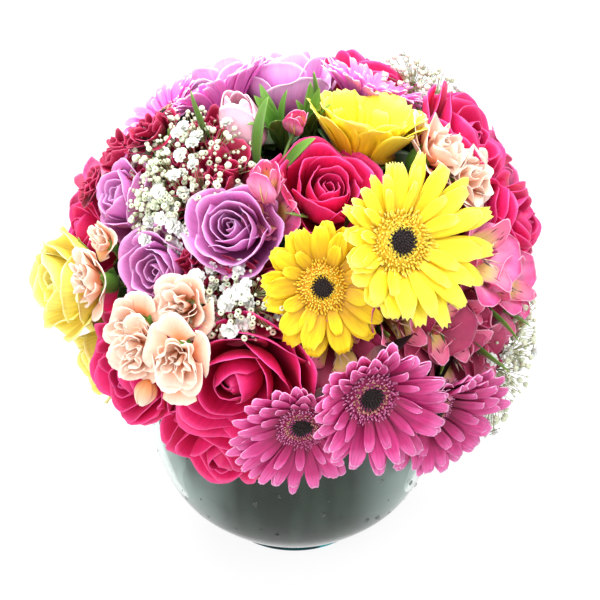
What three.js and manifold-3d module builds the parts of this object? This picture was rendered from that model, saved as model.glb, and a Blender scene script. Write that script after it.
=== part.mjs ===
// A round bouquet in a clear glass bowl. Roses, gerberas, spray carnations, alstroemeria, a tulip
// and gypsophila stand on their stems in a ball of floral foam, and a leaf lining hides the foam
// behind the glass. Millimetres, +Z up. The origin is the centre of the bowl's foot, and -Y is the
// front of the bouquet.
import * as THREE from "three";
import { mergeVertices } from "three/addons/utils/BufferGeometryUtils.js";
import Module from "manifold-3d";

const wasm = await Module();
wasm.setup();

// ---- Driving dimensions, in millimetres and degrees ----
const BOWL_RADIUS = 95; // outside of the glass ball
const FOOT_RADIUS = 45; // flat ring that the bowl stands on
const MOUTH_RADIUS = 62;
const GLASS_WALL = 3;
const FLOOR_HEIGHT = 5; // the glass is thicker under the water
const LINING_THICKNESS = 1.4; // one layer of folded broad leaves
const LINING_GAP = 0.3;
const FACET_SLACK = 0.6; // nested balls keep this much more room for their flat facets
const FOAM_SLACK = 2.4; // room between the lining and the foam
const LINING_DROP = 4; // the lining stops this far below the rim
const SHOULDER_DROP = 12; // and the foam narrows towards the mouth from this far below it
const BOWL_SIDES = 24;
const FOAM_SIDES = 16;

const FOCUS_HEIGHT = 186; // the point that the flower heads face away from
const FOAM_BALL_HEIGHT = 164; // centre of the rounded top of the foam
const FOAM_BALL_RADIUS = 55;
const FOAM_BALL_STEPS = [5, 35, 65];
const STEM_ROOT_RADIUS = 33; // how near to the ball's centre the stems reach
const STEM_RADIUS = 2.2;
const STEM_SIDES = 4;
const NECK_LENGTH = 13; // the straight end of a stem, below its head
const LOWEST_ROOT = 7; // no stem leaves the foam at a lower elevation than this
const BRANCH_RADIUS = 1.6;
const BRANCH_SIDES = 3;
const FORK_DEPTH = 8;
const HOLE_CLEARANCE = 0.45; // between a stem and its hole in the foam
const PETAL_THICKNESS = 0.8; // at its middle
const CELL_MARGIN = 0.6; // each head stays this far inside its own share of the space

const DEGREE = Math.PI / 180;
const BOWL_CENTRE = new THREE.Vector3(0, 0, Math.sqrt(BOWL_RADIUS ** 2 - FOOT_RADIUS ** 2));
const RIM_HEIGHT = BOWL_CENTRE.z + Math.sqrt(BOWL_RADIUS ** 2 - MOUTH_RADIUS ** 2);
const LINING_RADIUS = BOWL_RADIUS - GLASS_WALL - LINING_GAP - FACET_SLACK;
const FOCUS = new THREE.Vector3(0, 0, FOCUS_HEIGHT);
const FOAM_BALL_CENTRE = new THREE.Vector3(0, 0, FOAM_BALL_HEIGHT);

const COLOURS = {
  glass: 0xbfd8d2,
  lining: 0x3f4f47,
  foam: 0x3d5a3a,
  rose_pink: 0xe0216a,
  rose_lilac: 0xc07fcf,
  rose_yellow: 0xf4d95a,
  gerbera_yellow: 0xf4cc14,
  gerbera_magenta: 0xd056ae,
  gerbera_pink: 0xee7fd6,
  eye: 0x2a1418,
  carnation_peach: 0xf3bfa4,
  carnation_crimson: 0xa81846,
  alstroemeria: 0xe46a94,
  tulip: 0xf6c9d4,
  gypsophila: 0xf2f4ea,
  leaf: 0x5f8f34,
};

// ---- The planting plan ----
// at: azimuth (0 is the front, positive to the right), elevation, and distance from the focus to
// the middle of the face. face: where the head looks, if not straight out from the focus. cup: how
// far a gerbera's rays rise. plain: a gerbera whose eye is not a node of its own.
// A head of a spray is [azimuth, elevation, distance, radius].
const ROSES = [
  { name: "rose_pink_front", colour: "rose_pink", at: [-13, 2, 153], radius: 37, spin: 20 },
  { name: "rose_pink_front_left", colour: "rose_pink", at: [-45, -4, 146], radius: 33, spin: 70 },
  { name: "rose_pink_low", colour: "rose_pink", at: [-21, -24, 143], radius: 31, spin: 10 },
  { name: "rose_pink_crown", colour: "rose_pink", at: [11, 51, 138], radius: 31, spin: 40 },
  { name: "rose_pink_right_high", colour: "rose_pink", at: [79, 43, 144], radius: 32, spin: 5 },
  { name: "rose_pink_right", colour: "rose_pink", at: [76, 21, 148], radius: 30, spin: 55 },
  { name: "rose_pink_left", colour: "rose_pink", at: [-78, 18, 144], radius: 27, spin: 33 },
  { name: "rose_lilac_front", colour: "rose_lilac", at: [-16, 36, 146], radius: 29, spin: 0 },
  { name: "rose_lilac_left", colour: "rose_lilac", at: [-38, 23, 143], radius: 25, spin: 62 },
  { name: "rose_lilac_side", colour: "rose_lilac", at: [-61, 35, 142], radius: 25, spin: 15 },
  { name: "rose_lilac_top", colour: "rose_lilac", at: [-174, 73, 134], radius: 28, spin: 45 },
  { name: "rose_yellow_left", colour: "rose_yellow", at: [-64, 10, 150], radius: 29, spin: 25 },
  { name: "rose_yellow_low", colour: "rose_yellow", at: [-62, -13, 143], radius: 27, spin: 50 },
  { name: "rose_pink_back_right", colour: "rose_pink", at: [124, -7, 148], radius: 34, spin: 30 },
  { name: "rose_lilac_back_low", colour: "rose_lilac", at: [-167, -8, 148], radius: 33, spin: 12 },
  { name: "rose_pink_back_left", colour: "rose_pink", at: [-108, -6, 147], radius: 33, spin: 64 },
  { name: "rose_yellow_back", colour: "rose_yellow", at: [168, 22, 149], radius: 33, spin: 48 },
  { name: "rose_pink_back", colour: "rose_pink", at: [-128, 24, 147], radius: 33, spin: 8 },
  { name: "rose_pink_back_high", colour: "rose_pink", at: [144, 49, 142], radius: 31, spin: 22 },
  { name: "rose_lilac_back", colour: "rose_lilac", at: [-146, 50, 142], radius: 31, spin: 37 },
];

const GERBERAS = [
  { name: "gerbera_yellow_front", colour: "gerbera_yellow", at: [7, 25, 147], radius: 33, cup: 8 },
  { name: "gerbera_yellow_right", colour: "gerbera_yellow", at: [27, 32, 154], radius: 40, cup: 4 },
  {
    name: "gerbera_yellow_crown",
    colour: "gerbera_yellow",
    at: [48, 64, 138], face: [30, 74], radius: 35, cup: 52, plain: true,
  },
  { name: "gerbera_magenta_front", colour: "gerbera_magenta", at: [2, -7, 157], radius: 32, cup: 6 },
  { name: "gerbera_magenta_middle", colour: "gerbera_magenta", at: [17, 1, 158], radius: 34, cup: 10 },
  { name: "gerbera_magenta_right", colour: "gerbera_magenta", at: [36, -9, 150], radius: 36, cup: 16 },
  {
    name: "gerbera_pink_crown_right",
    colour: "gerbera_pink",
    at: [109, 68, 132], radius: 35, cup: 30, plain: true,
  },
  {
    name: "gerbera_pink_crown_left",
    colour: "gerbera_pink",
    at: [-111, 69, 131], radius: 35, cup: 30, plain: true,
  },
  {
    name: "gerbera_pink_left",
    colour: "gerbera_pink",
    at: [-112, 48, 134], radius: 30, cup: 22, plain: true,
  },
  { name: "gerbera_yellow_side", colour: "gerbera_yellow", at: [93, -9, 147], radius: 35, cup: 10 },
  {
    name: "gerbera_magenta_back",
    colour: "gerbera_magenta",
    at: [158, -9, 147], radius: 36, cup: 8, plain: true,
  },
  { name: "gerbera_yellow_back", colour: "gerbera_yellow", at: [-138, -8, 147], radius: 36, cup: 8 },
  {
    name: "gerbera_pink_back",
    colour: "gerbera_pink",
    at: [134, 22, 147], radius: 37, cup: 12, plain: true,
  },
];

const CARNATIONS = [
  {
    name: "carnation_peach_front",
    colour: "carnation_peach",
    heads: [[-33, 12, 155, 15], [-30, 7, 158, 15], [-22, 17, 153, 15], [-22, 8, 160, 15]],
  },
  {
    name: "carnation_peach_left",
    colour: "carnation_peach",
    heads: [[-53, 15, 149, 14], [-56, 24, 144, 9]],
  },
  {
    name: "carnation_peach_right",
    colour: "carnation_peach",
    heads: [[63, 48, 141, 14], [67, 37, 143, 14]],
  },
  {
    name: "carnation_crimson_left",
    colour: "carnation_crimson",
    heads: [[-68, 55, 138, 14], [-78, 41, 143, 14], [-77, 30, 146, 12]],
  },
  {
    name: "carnation_crimson_back",
    colour: "carnation_crimson",
    heads: [[-173, 46, 143, 15], [-157, 25, 148, 16]],
  },
];

const ALSTROEMERIAS = [
  { name: "alstroemeria_right", heads: [[55, 23, 150, 21], [61, 14, 149, 19], [71, 6, 146, 16]] },
  { name: "alstroemeria_low", heads: [[34, 11, 147, 19], [50, -1, 143, 17]] },
  { name: "alstroemeria_crown", heads: [[-7, 47, 141, 14], [3, 66, 137, 12]] },
  { name: "alstroemeria_side", heads: [[107, 13, 149, 19], [103, 28, 147, 14]] },
  { name: "alstroemeria_left", heads: [[-103, 19, 148, 20]] },
];

const GYPSOPHILAS = [
  { name: "gypsophila_left", at: [-43, 49, 144], radius: 30 },
  { name: "gypsophila_front", at: [-15, 24, 146], radius: 18 },
  { name: "gypsophila_right", at: [73, -12, 152], radius: 24 },
  { name: "gypsophila_back", at: [113, 40, 149], radius: 24 },
];

const TULIP = { name: "tulip", at: [-32, 69, 136], face: [-30, 84], radius: 16, spin: 20 };

const LEAVES = [
  { name: "leaves_crown", heads: [[-20, 70, 140, 12], [16, 72, 138, 11]] },
];

const FULLNESS = 1.1; // heads open this much wider than planned, then press on each other
const PRESS_ROUNDS = 4;
const LEAST_SQUASH = 0.3; // the thinnest that one wall presses a head, as a share
const TRIALS = 500;

// The outline of each kind of head: rings [out, level], in shares of the head's radius, from the
// middle of its top to its tail.
const OUTLINES = {
  rose: [[0.32, 1.3], [1.13, 0.96], [0.86, 0.46], [0, -0.12]],
  carnation: [[0.48, 1.5], [0.9, 1.34], [1.12, 0.9], [0.3, 0.1], [0, -0.14]],
  alstroemeria: [[0.4, 1.56], [1.1, 1.54], [1.14, 1.14], [0.5, 0.8], [0, -0.16]],
  gypsophila: [[0.6, 1.5], [1.15, 1.1], [1.2, 0.2], [0, -0.1]],
  tulip: [[0.6, 2.65], [0.95, 1.9], [1.08, 0.8], [0, -0.1]],
  leaves: [[0.5, 2.5], [1, 2.1], [0.5, 0.7], [0, -0.1]],
};

const GERBERA_RAYS = 10; // in each of the two rings
const GERBERA_DISC = 0.24; // where the rays start, as a share of the head's radius
const EYE_SIDES = 8;
const KNOT_RADIUS = 2.6;
const THREAD_RADIUS = 0.7;
const FLORET_RADIUS = 2.8;

// ---- Where each head sits, and the space that it may fill ----
function direction(azimuth, elevation) {
  const level = Math.cos(elevation * DEGREE);
  const [sine, cosine] = [Math.sin(azimuth * DEGREE), Math.cos(azimuth * DEGREE)];
  return new THREE.Vector3(sine * level, -cosine * level, Math.sin(elevation * DEGREE));
}

// A head's matrix turns its own shares of its radius, with +Z up its axis, into the bouquet's frame.
const seats = new Map();
function addSeat(key, { at, face, radius, spin = 0 }, outline) {
  const axis = face ? direction(...face) : direction(at[0], at[1]);
  const size = radius * FULLNESS;
  const height = size * Math.max(...outline.map(([, level]) => level));
  const middle = direction(at[0], at[1]).multiplyScalar(at[2]).add(FOCUS);
  const base = middle.addScaledVector(axis, -0.85 * height);
  const side = new THREE.Vector3(0, 0, 1).cross(axis).normalize().applyAxisAngle(axis, spin * DEGREE);
  const across = axis.clone().cross(side);
  const matrix = new THREE.Matrix4().makeBasis(side, across, axis).setPosition(base);
  matrix.scale(new THREE.Vector3(size, size, size));
  const heart = base.clone().addScaledVector(axis, 0.55 * height);
  seats.set(key, { size, outline, matrix, heart, walls: [] });
}

function seatSprays(sprays, outline) {
  for (const { name, heads } of sprays) {
    heads.forEach(([azimuth, elevation, distance, radius], i) => {
      addSeat(name + i, { at: [azimuth, elevation, distance], radius, spin: 25 * i }, outline);
    });
  }
}

// How far a head's outline reaches along a direction, and back against it.
function span({ matrix, outline }, normal) {
  const own = normal.clone().applyMatrix3(new THREE.Matrix3().setFromMatrix4(matrix).transpose());
  const centre = new THREE.Vector3().setFromMatrixPosition(matrix).dot(normal);
  const across = Math.hypot(own.x, own.y);
  const reaches = outline.map(([out, level]) => own.z * level + across * out);
  const backs = outline.map(([out, level]) => own.z * level - across * out);
  return { reach: centre + Math.max(...reaches), behind: centre + Math.min(...backs) };
}

// Directions spread evenly over a ball, for trying where a wall between two heads costs least.
const TRIAL_DIRECTIONS = Array.from({ length: TRIALS }, (_, i) => {
  const rise = 1 - (2 * i + 1) / TRIALS;
  const turn = i * Math.PI * (3 - Math.sqrt(5));
  const level = Math.sqrt(1 - rise * rise);
  return new THREE.Vector3(level * Math.cos(turn), level * Math.sin(turn), rise);
});

// Where two outlines overlap, a flat wall parts them, square to the direction of least overlap.
function buildWalls() {
  const all = [...seats.values()];
  all.forEach((mine, i) => {
    for (const other of all.slice(i + 1)) {
      const between = other.heart.clone().sub(mine.heart);
      if (between.length() > 2 * (mine.size + other.size)) continue;
      let best = null;
      for (const normal of TRIAL_DIRECTIONS) {
        if (normal.dot(between) < 0.1 * between.length()) continue;
        const { reach } = span(mine, normal);
        const { behind } = span(other, normal);
        const gap = behind - reach;
        if (best === null || gap > best.gap) best = { normal, gap, reach, behind };
      }
      if (best.gap > 2 * CELL_MARGIN) continue;
      const middle = (best.reach + best.behind) / 2;
      mine.walls.push({ normal: best.normal, limit: middle - CELL_MARGIN });
      other.walls.push({ normal: best.normal.clone().negate(), limit: -middle - CELL_MARGIN });
    }
    const balls = [[BOWL_CENTRE, BOWL_RADIUS], [FOAM_BALL_CENTRE, FOAM_BALL_RADIUS]];
    for (const [centre, radius] of balls) {
      const normal = centre.clone().sub(mine.heart).normalize();
      mine.walls.push({ normal, limit: centre.dot(normal) - radius - CELL_MARGIN });
    }
  });
}

// Heads press on each other as they do in a tight bouquet. Where a head would reach through a wall
// between it and a neighbour, the whole head is flattened square to the wall, with its far side
// kept in place, until it just fits.
function press(home) {
  for (let round = 0; round < PRESS_ROUNDS; round++) {
    for (const { normal, limit } of home.walls) {
      const { reach, behind } = span(home, normal);
      if (reach <= limit) continue;
      const loss = 1 - Math.max((limit - behind) / (reach - behind), LEAST_SQUASH);
      const { x, y, z } = normal;
      const flatten = new THREE.Matrix4().set(
        1 - loss * x * x, -loss * x * y, -loss * x * z, loss * behind * x,
        -loss * y * x, 1 - loss * y * y, -loss * y * z, loss * behind * y,
        -loss * z * x, -loss * z * y, 1 - loss * z * z, loss * behind * z,
        0, 0, 0, 1,
      );
      home.matrix.premultiply(flatten);
    }
  }
}

// ---- Solids ----
function solidFrom(geometry) {
  const bare = geometry.clone();
  bare.deleteAttribute("normal");
  bare.deleteAttribute("uv");
  const merged = mergeVertices(bare, 1e-4);
  const kept = [];
  for (let i = 0; i < merged.index.count; i += 3) {
    const [a, b, c] = [0, 1, 2].map((k) => merged.index.getX(i + k));
    if (a !== b && b !== c && c !== a) kept.push(a, b, c);
  }
  return solidOf(merged.attributes.position.array, kept);
}

function solidOf(coordinates, triangles) {
  const mesh = new wasm.Mesh({
    numProp: 3,
    vertProperties: Float32Array.from(coordinates),
    triVerts: Uint32Array.from(triangles),
  });
  return new wasm.Manifold(mesh);
}

function solidOfPoints(points, triangles) {
  return solidOf(points.flatMap((p) => [p.x, p.y, p.z]), triangles.flat());
}

function join(solids) {
  return solids.reduce((whole, next) => whole.add(next));
}

function turned(profile, sides) {
  const points = profile.map(([radius, height]) => new THREE.Vector2(radius, height));
  const solid = solidFrom(new THREE.LatheGeometry(points, sides).rotateX(Math.PI / 2));
  if (solid.volume() > 0) return solid;
  return solidFrom(new THREE.LatheGeometry(points.reverse(), sides).rotateX(Math.PI / 2));
}

// ---- Stems ----
// A path of straight stretches, followed with one section at each of its points.
class BentPath extends THREE.Curve {
  constructor(points) {
    super();
    this.points = points;
  }
  getPoint(share, target = new THREE.Vector3()) {
    const last = this.points.length - 1;
    const i = Math.min(Math.floor(share * last), last - 1);
    return target.lerpVectors(this.points[i], this.points[i + 1], share * last - i);
  }
  getPointAt(share, target) {
    return this.getPoint(share, target);
  }
}

function tube(points, radius, sides) {
  const section = new THREE.Shape();
  for (let i = 0; i < sides; i++) {
    const angle = (i * 2 * Math.PI) / sides;
    const [x, y] = [radius * Math.cos(angle), radius * Math.sin(angle)];
    i ? section.lineTo(x, y) : section.moveTo(x, y);
  }
  const extrudePath = new BentPath(points);
  const steps = points.length - 1;
  return solidFrom(new THREE.ExtrudeGeometry(section, { extrudePath, steps, bevelEnabled: false }));
}

// The stem from the foam to a head: straight in its hole, then bent towards the head's base.
const holes = [];
function stem(base, axis, top) {
  const out = base.clone().sub(FOAM_BALL_CENTRE);
  const azimuth = Math.atan2(out.x, -out.y) / DEGREE;
  const elevation = Math.max(Math.atan2(out.z, Math.hypot(out.x, out.y)) / DEGREE, LOWEST_ROOT);
  const outward = direction(azimuth, elevation);
  const along = (distance) => outward.clone().multiplyScalar(distance).add(FOAM_BALL_CENTRE);
  const neck = base.clone().addScaledVector(axis, -NECK_LENGTH);
  holes.push([along(STEM_ROOT_RADIUS - HOLE_CLEARANCE), along(FOAM_BALL_RADIUS + 3)]);
  const path = [along(STEM_ROOT_RADIUS), along(FOAM_BALL_RADIUS + 5), neck, top];
  return tube(path, STEM_RADIUS, STEM_SIDES);
}

function onAxis(home, level) {
  return new THREE.Vector3(0, 0, level).applyMatrix4(home.matrix);
}

function headStem(home, topLevel) {
  const axis = onAxis(home, 1).sub(onAxis(home, 0)).normalize();
  return stem(onAxis(home, 0), axis, onAxis(home, topLevel));
}

// ---- Petalled heads ----
// A whole head is one closed skin. Its rings of petals grow out between circles of points that
// neighbouring petals share, from the crown in the middle down to the tail. Distances from the
// axis and levels along it are shares of the head's radius.
class Skin {
  constructor(home, count) {
    this.home = home;
    this.count = count;
    this.points = [];
    this.faces = [];
  }
  add(out, angle, level) {
    const [x, y] = [out * Math.cos(angle * DEGREE), out * Math.sin(angle * DEGREE)];
    return this.points.push(new THREE.Vector3(x, y, level).applyMatrix4(this.home.matrix)) - 1;
  }
  circle([out, level], shift) {
    const step = 360 / this.count;
    return Array.from({ length: this.count }, (_, i) => this.add(out, (i + shift) * step, level));
  }
  // The faces of each step round two circles, made from the step's corners on low and on high.
  band(low, high, makeFaces) {
    for (let i = 0; i < this.count; i++) {
      const next = (i + 1) % this.count;
      this.faces.push(...makeFaces(low[i], low[next], high[i], high[next]));
    }
  }
}

function petalledHead(home, { count, crown, rings, tail, groove = false }) {
  const skin = new Skin(home, count);
  const crownCircles = crown.slice(0, -1).map((circle) => skin.circle(circle, -0.5));
  for (let k = 1; k < crownCircles.length; k++) {
    skin.band(crownCircles[k - 1], crownCircles[k], (a, b, c, d) => [[c, a, b], [c, b, d]]);
  }
  const top = skin.add(0, 0, crown.at(-1)[1]);
  skin.band(crownCircles.at(-1), crownCircles.at(-1), (a, b) => [[top, a, b]]);

  let upper = crownCircles[0];
  rings.forEach((ring, k) => {
    const lower = skin.circle(ring.root, k / 2);
    for (let i = 0; i < count; i++) {
      const next = (i + 1) % count;
      const angle = ((i + k / 2) * 360) / count;
      growPetal(skin, ring, groove, angle, [upper[i], upper[next], lower[i]]);
      skin.faces.push([lower[i], lower[next], upper[next]]);
    }
    upper = lower;
  });
  const bottom = skin.add(0, 0, tail);
  skin.band(upper, upper, (a, b) => [[bottom, b, a]]);
  return solidOfPoints(skin.points, skin.faces);
}

// A petal follows its stations, [out, level, half its angle]. A station with no angle is a pointed
// tip. The petal has sharp edges, a thicker middle, and with a groove also a fold along its upper
// face. lap pushes one edge of each petal out and the other in, so that the petals of a ring
// overlap without touching.
function growPetal(skin, ring, groove, angle, [leftRoot, rightRoot, underRoot]) {
  const { root, stations, lap = 0, thick = PETAL_THICKNESS } = ring;
  const { faces } = skin;
  const drop = thick / skin.home.size;
  let [left, right, under, over] = [leftRoot, rightRoot, underRoot, null];
  let from = root;
  for (const [out, level, half] of stations) {
    if (!half) {
      const tip = skin.add(out, angle, level);
      faces.push([left, under, tip], [right, tip, under]);
      if (over === null) faces.push([left, tip, right]);
      else faces.push([left, tip, over], [over, tip, right]);
      return;
    }
    const slope = new THREE.Vector2(out - from[0], level - from[1]).normalize();
    const nextLeft = skin.add(out * (1 - lap), angle - half, level);
    const nextRight = skin.add(out * (1 + lap), angle + half, level);
    const nextUnder = skin.add(out + slope.y * drop, angle, level - slope.x * drop);
    faces.push([left, under, nextUnder], [left, nextUnder, nextLeft]);
    faces.push([right, nextRight, nextUnder], [right, nextUnder, under]);
    if (groove) {
      const nextOver = skin.add(out, angle, level);
      faces.push([left, nextLeft, nextOver]);
      if (over === null) faces.push([left, nextOver, right]);
      else faces.push([left, nextOver, over], [over, nextOver, right]);
      faces.push([right, nextOver, nextRight]);
      over = nextOver;
    } else {
      faces.push([left, nextLeft, nextRight], [left, nextRight, right]);
    }
    [left, right, under] = [nextLeft, nextRight, nextUnder];
    from = [out, level];
  }
  if (groove) faces.push([over, left, under], [right, over, under]);
  else faces.push([right, left, under]);
}

// ---- Roses ----
function rose(plan) {
  const home = seats.get(plan.name);
  const head = petalledHead(home, {
    count: 5,
    groove: true,
    crown: [[0.13, 0.42], [0, 1.14]],
    rings: [
      { root: [0.15, 0.34], stations: [[0.3, 1.26, 38]], lap: 0.12 },
      { root: [0.18, 0.2], stations: [[0.54, 0.62, 43], [0.6, 1.16, 36]], lap: 0.07 },
      { root: [0.2, 0.04], stations: [[0.78, 0.5, 43], [1.04, 0.94, 34]], lap: 0.06 },
    ],
    tail: -0.1,
  });
  return join([head, headStem(home, 0.1)]);
}

// ---- Gerberas ----
// A station of a ray that is lifted by the head's cup: [out, level].
function gerberaStation(cup, length, drop) {
  const beyond = length - GERBERA_DISC;
  const [out, rise] = [beyond * Math.cos(cup * DEGREE), beyond * Math.sin(cup * DEGREE)];
  return [GERBERA_DISC + out, 0.3 - drop + rise];
}

function gerberaOutline(cup) {
  const [out, level] = gerberaStation(cup, 1.06, 0);
  return [[0.25, 0.48], [out, level + 0.02], [out, level - 0.16], [0.2, 0.02]];
}

function gerbera(plan) {
  const home = seats.get(plan.name);
  const station = (length, drop, half) => [...gerberaStation(plan.cup, length, drop), half];
  const head = petalledHead(home, {
    count: GERBERA_RAYS,
    crown: [[0.25, 0.31], [0.21, 0.395], [0, 0.355]],
    rings: [
      { root: [0.24, 0.24], stations: [station(0.74, 0, 12), station(0.96, 0.02, 0)], thick: 1.2 },
      { root: [0.19, 0.16], stations: [station(0.78, 0.08, 12), station(1.04, 0.12, 0)], thick: 1.2 },
    ],
    tail: 0.03,
  });
  return join([head, headStem(home, 0.14)]);
}

// The dark eye, a small button that stands on the ring of florets.
function gerberaEye(plan) {
  const home = seats.get(plan.name);
  const profile = [[0, 0.37], [0.13, 0.396], [0.13, 0.44], [0.07, 0.47], [0, 0.455]];
  const points = profile.map(([out, level]) => new THREE.Vector2(out, level));
  const button = new THREE.LatheGeometry(points, EYE_SIDES).rotateX(Math.PI / 2);
  return solidFrom(button.applyMatrix4(home.matrix));
}

// ---- Sprays: several heads on branches of one stem ----
function spray(plan, makeHead) {
  const homes = plan.heads.map((_, i) => seats.get(plan.name + i));
  const middle = new THREE.Vector3();
  homes.forEach((home) => middle.addScaledVector(onAxis(home, 0), 1 / homes.length));
  const axis = middle.clone().sub(FOCUS).normalize();
  const fork = middle.clone().addScaledVector(axis, -FORK_DEPTH);
  const branches = homes.map((home) => {
    return tube([fork, onAxis(home, 0.15)], BRANCH_RADIUS, BRANCH_SIDES);
  });
  const trunk = stem(fork, axis, fork.clone().addScaledVector(axis, 1));
  return join([trunk, ...branches, ...homes.map(makeHead)]);
}

function carnationHead(home) {
  return petalledHead(home, {
    count: 5,
    crown: [[0.24, 0.8], [0.4, 1.44], [0, 1.1]],
    rings: [
      { root: [0.3, 0.6], stations: [[0.8, 1.28, 34]], lap: 0.06, thick: 1.4 },
      { root: [0.26, 0.36], stations: [[1.05, 0.88, 35]], lap: 0.04, thick: 1.4 },
    ],
    tail: -0.12,
  });
}

function alstroemeriaHead(home) {
  return petalledHead(home, {
    count: 3,
    crown: [[0.1, 0.5], [0, 0.55]],
    rings: [
      { root: [0.12, 0.3], stations: [[0.36, 1.1, 26], [0.7, 1.46, 16], [0.98, 1.5, 0]], thick: 1.2 },
      { root: [0.14, 0.1], stations: [[0.46, 0.94, 38], [0.86, 1.22, 24], [1.08, 1.24, 0]], thick: 1.2 },
    ],
    tail: -0.14,
  });
}

// ---- Gypsophila ----
// Threads grow out of the upper faces of a small knot, and each ends in a three-sided floret.
function gypsophila(plan, seed) {
  const home = seats.get(plan.name);
  const random = seededRandom(seed);
  const knot = new THREE.IcosahedronGeometry(KNOT_RADIUS / home.size).attributes.position;
  const points = [];
  const faces = [];
  const shared = (corner) => {
    const found = points.findIndex((p) => p.distanceTo(corner) < 1e-3);
    return found >= 0 ? found : points.push(corner) - 1;
  };
  for (let i = 0; i < knot.count; i += 3) {
    const own = [0, 1, 2].map((k) => new THREE.Vector3().fromBufferAttribute(knot, i + k));
    const outward = own[0].clone().add(own[1]).add(own[2]).normalize();
    const root = own.map((p) => p.applyMatrix4(home.matrix));
    const rootIds = root.map(shared);
    if (outward.z < -0.3) {
      faces.push(rootIds);
      continue;
    }
    outward.z += 0.45;
    const head = outward.setLength(0.8 + 0.4 * random()).applyMatrix4(home.matrix);
    const middle = root[0].clone().add(root[1]).add(root[2]).divideScalar(3);
    const along = head.clone().sub(middle).normalize();
    const length = head.distanceTo(middle);
    const ring = (distance, radius) =>
      root.map((corner) => {
        const side = corner.clone().sub(middle);
        side.addScaledVector(along, -side.dot(along)).setLength(radius);
        return points.push(side.addScaledVector(along, distance).add(middle)) - 1;
      });
    const rings = [rootIds, ring(length - 4.6, THREAD_RADIUS), ring(length - 2, FLORET_RADIUS)];
    const tip = points.push(head) - 1;
    for (let k = 0; k < 3; k++) {
      const next = (k + 1) % 3;
      for (const [low, high] of [[rings[0], rings[1]], [rings[1], rings[2]]]) {
        faces.push([low[k], low[next], high[next]], [low[k], high[next], high[k]]);
      }
      faces.push([rings[2][k], rings[2][next], tip]);
    }
  }
  return join([solidOfPoints(points, faces), headStem(home, 0.02)]);
}

function seededRandom(seed) {
  let state = seed;
  return () => {
    state = (state * 1664525 + 1013904223) % 4294967296;
    return state / 4294967296;
  };
}

// ---- The tulip, and tufts of narrow leaves ----
function tulipPetals() {
  return petalledHead(seats.get(TULIP.name), {
    count: 3,
    groove: true,
    crown: [[0.2, 0.3], [0, 0.7]],
    rings: [
      { root: [0.3, 0.2], stations: [[0.8, 0.9, 56], [0.62, 2.0, 40], [0.3, 2.6, 0]], lap: 0.06 },
      { root: [0.3, 0.02], stations: [[1, 0.85, 56], [0.86, 1.9, 40], [0.6, 2.5, 0]], lap: 0.05 },
    ],
    tail: -0.05,
  });
}

function tulipStem() {
  const home = seats.get(TULIP.name);
  return headStem(home, -0.05 - 0.5 / home.size);
}

function leafTuft(home) {
  return petalledHead(home, {
    count: 3,
    crown: [[0.16, 0.3], [0, 0.4]],
    rings: [
      { root: [0.2, 0.1], stations: [[0.26, 1, 30], [0.4, 1.8, 20], [0.5, 2.45, 0]], thick: 1.4 },
      { root: [0.2, -0.05], stations: [[0.46, 0.7, 30], [0.74, 1.4, 22], [1, 2.0, 0]], thick: 1.4 },
    ],
    tail: -0.15,
  });
}

// ---- The bowl, its lining and the foam ----
function arc(radius, fromHeight, toHeight, steps) {
  const [low, high] = [fromHeight, toHeight].map((z) => Math.asin((z - BOWL_CENTRE.z) / radius));
  return Array.from({ length: steps + 1 }, (_, i) => {
    const angle = low + ((high - low) * i) / steps;
    return [radius * Math.cos(angle), BOWL_CENTRE.z + radius * Math.sin(angle)];
  });
}

function glassBowl() {
  const inside = BOWL_RADIUS - GLASS_WALL;
  const outer = arc(BOWL_RADIUS, 0, RIM_HEIGHT, 7);
  const inner = arc(inside, FLOOR_HEIGHT, RIM_HEIGHT, 5).reverse();
  const rim = [[MOUTH_RADIUS - 0.4, RIM_HEIGHT + 1.4], [MOUTH_RADIUS - 3, RIM_HEIGHT + 1.4]];
  return turned([[0, 0], ...outer, ...rim, ...inner, [0, FLOOR_HEIGHT]], BOWL_SIDES);
}

function leafLining() {
  const floor = FLOOR_HEIGHT + LINING_GAP;
  const top = RIM_HEIGHT - LINING_DROP;
  const outer = arc(LINING_RADIUS, floor, top, 5);
  const inside = LINING_RADIUS - LINING_THICKNESS;
  const inner = arc(inside, floor + LINING_THICKNESS, top, 5).reverse();
  return turned([[0, floor], ...outer, ...inner, [0, floor + LINING_THICKNESS]], BOWL_SIDES);
}

function foamBlock() {
  const radius = LINING_RADIUS - LINING_THICKNESS - FOAM_SLACK;
  const floor = FLOOR_HEIGHT + 2 * LINING_GAP + LINING_THICKNESS;
  const below = arc(radius, floor, RIM_HEIGHT - SHOULDER_DROP, 4);
  const ball = FOAM_BALL_STEPS.map((elevation) => [
    FOAM_BALL_RADIUS * Math.cos(elevation * DEGREE),
    FOAM_BALL_HEIGHT + FOAM_BALL_RADIUS * Math.sin(elevation * DEGREE),
  ]);
  const neck = [MOUTH_RADIUS - 7, RIM_HEIGHT - 5];
  const top = [0, FOAM_BALL_HEIGHT + FOAM_BALL_RADIUS];
  const block = turned([[0, floor], ...below, neck, ...ball, top], FOAM_SIDES);
  const cuts = holes.map((path) => tube(path, STEM_RADIUS + HOLE_CLEARANCE, STEM_SIDES));
  return block.subtract(join(cuts));
}

// ---- The bouquet ----
ROSES.forEach((plan) => addSeat(plan.name, plan, OUTLINES.rose));
GERBERAS.forEach((plan, i) => addSeat(plan.name, { ...plan, spin: 11 * i }, gerberaOutline(plan.cup)));
GYPSOPHILAS.forEach((plan) => addSeat(plan.name, plan, OUTLINES.gypsophila));
addSeat(TULIP.name, TULIP, OUTLINES.tulip);
seatSprays(CARNATIONS, OUTLINES.carnation);
seatSprays(ALSTROEMERIAS, OUTLINES.alstroemeria);
seatSprays(LEAVES, OUTLINES.leaves);
buildWalls();
seats.forEach(press);

const bouquet = new THREE.Group();

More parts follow.
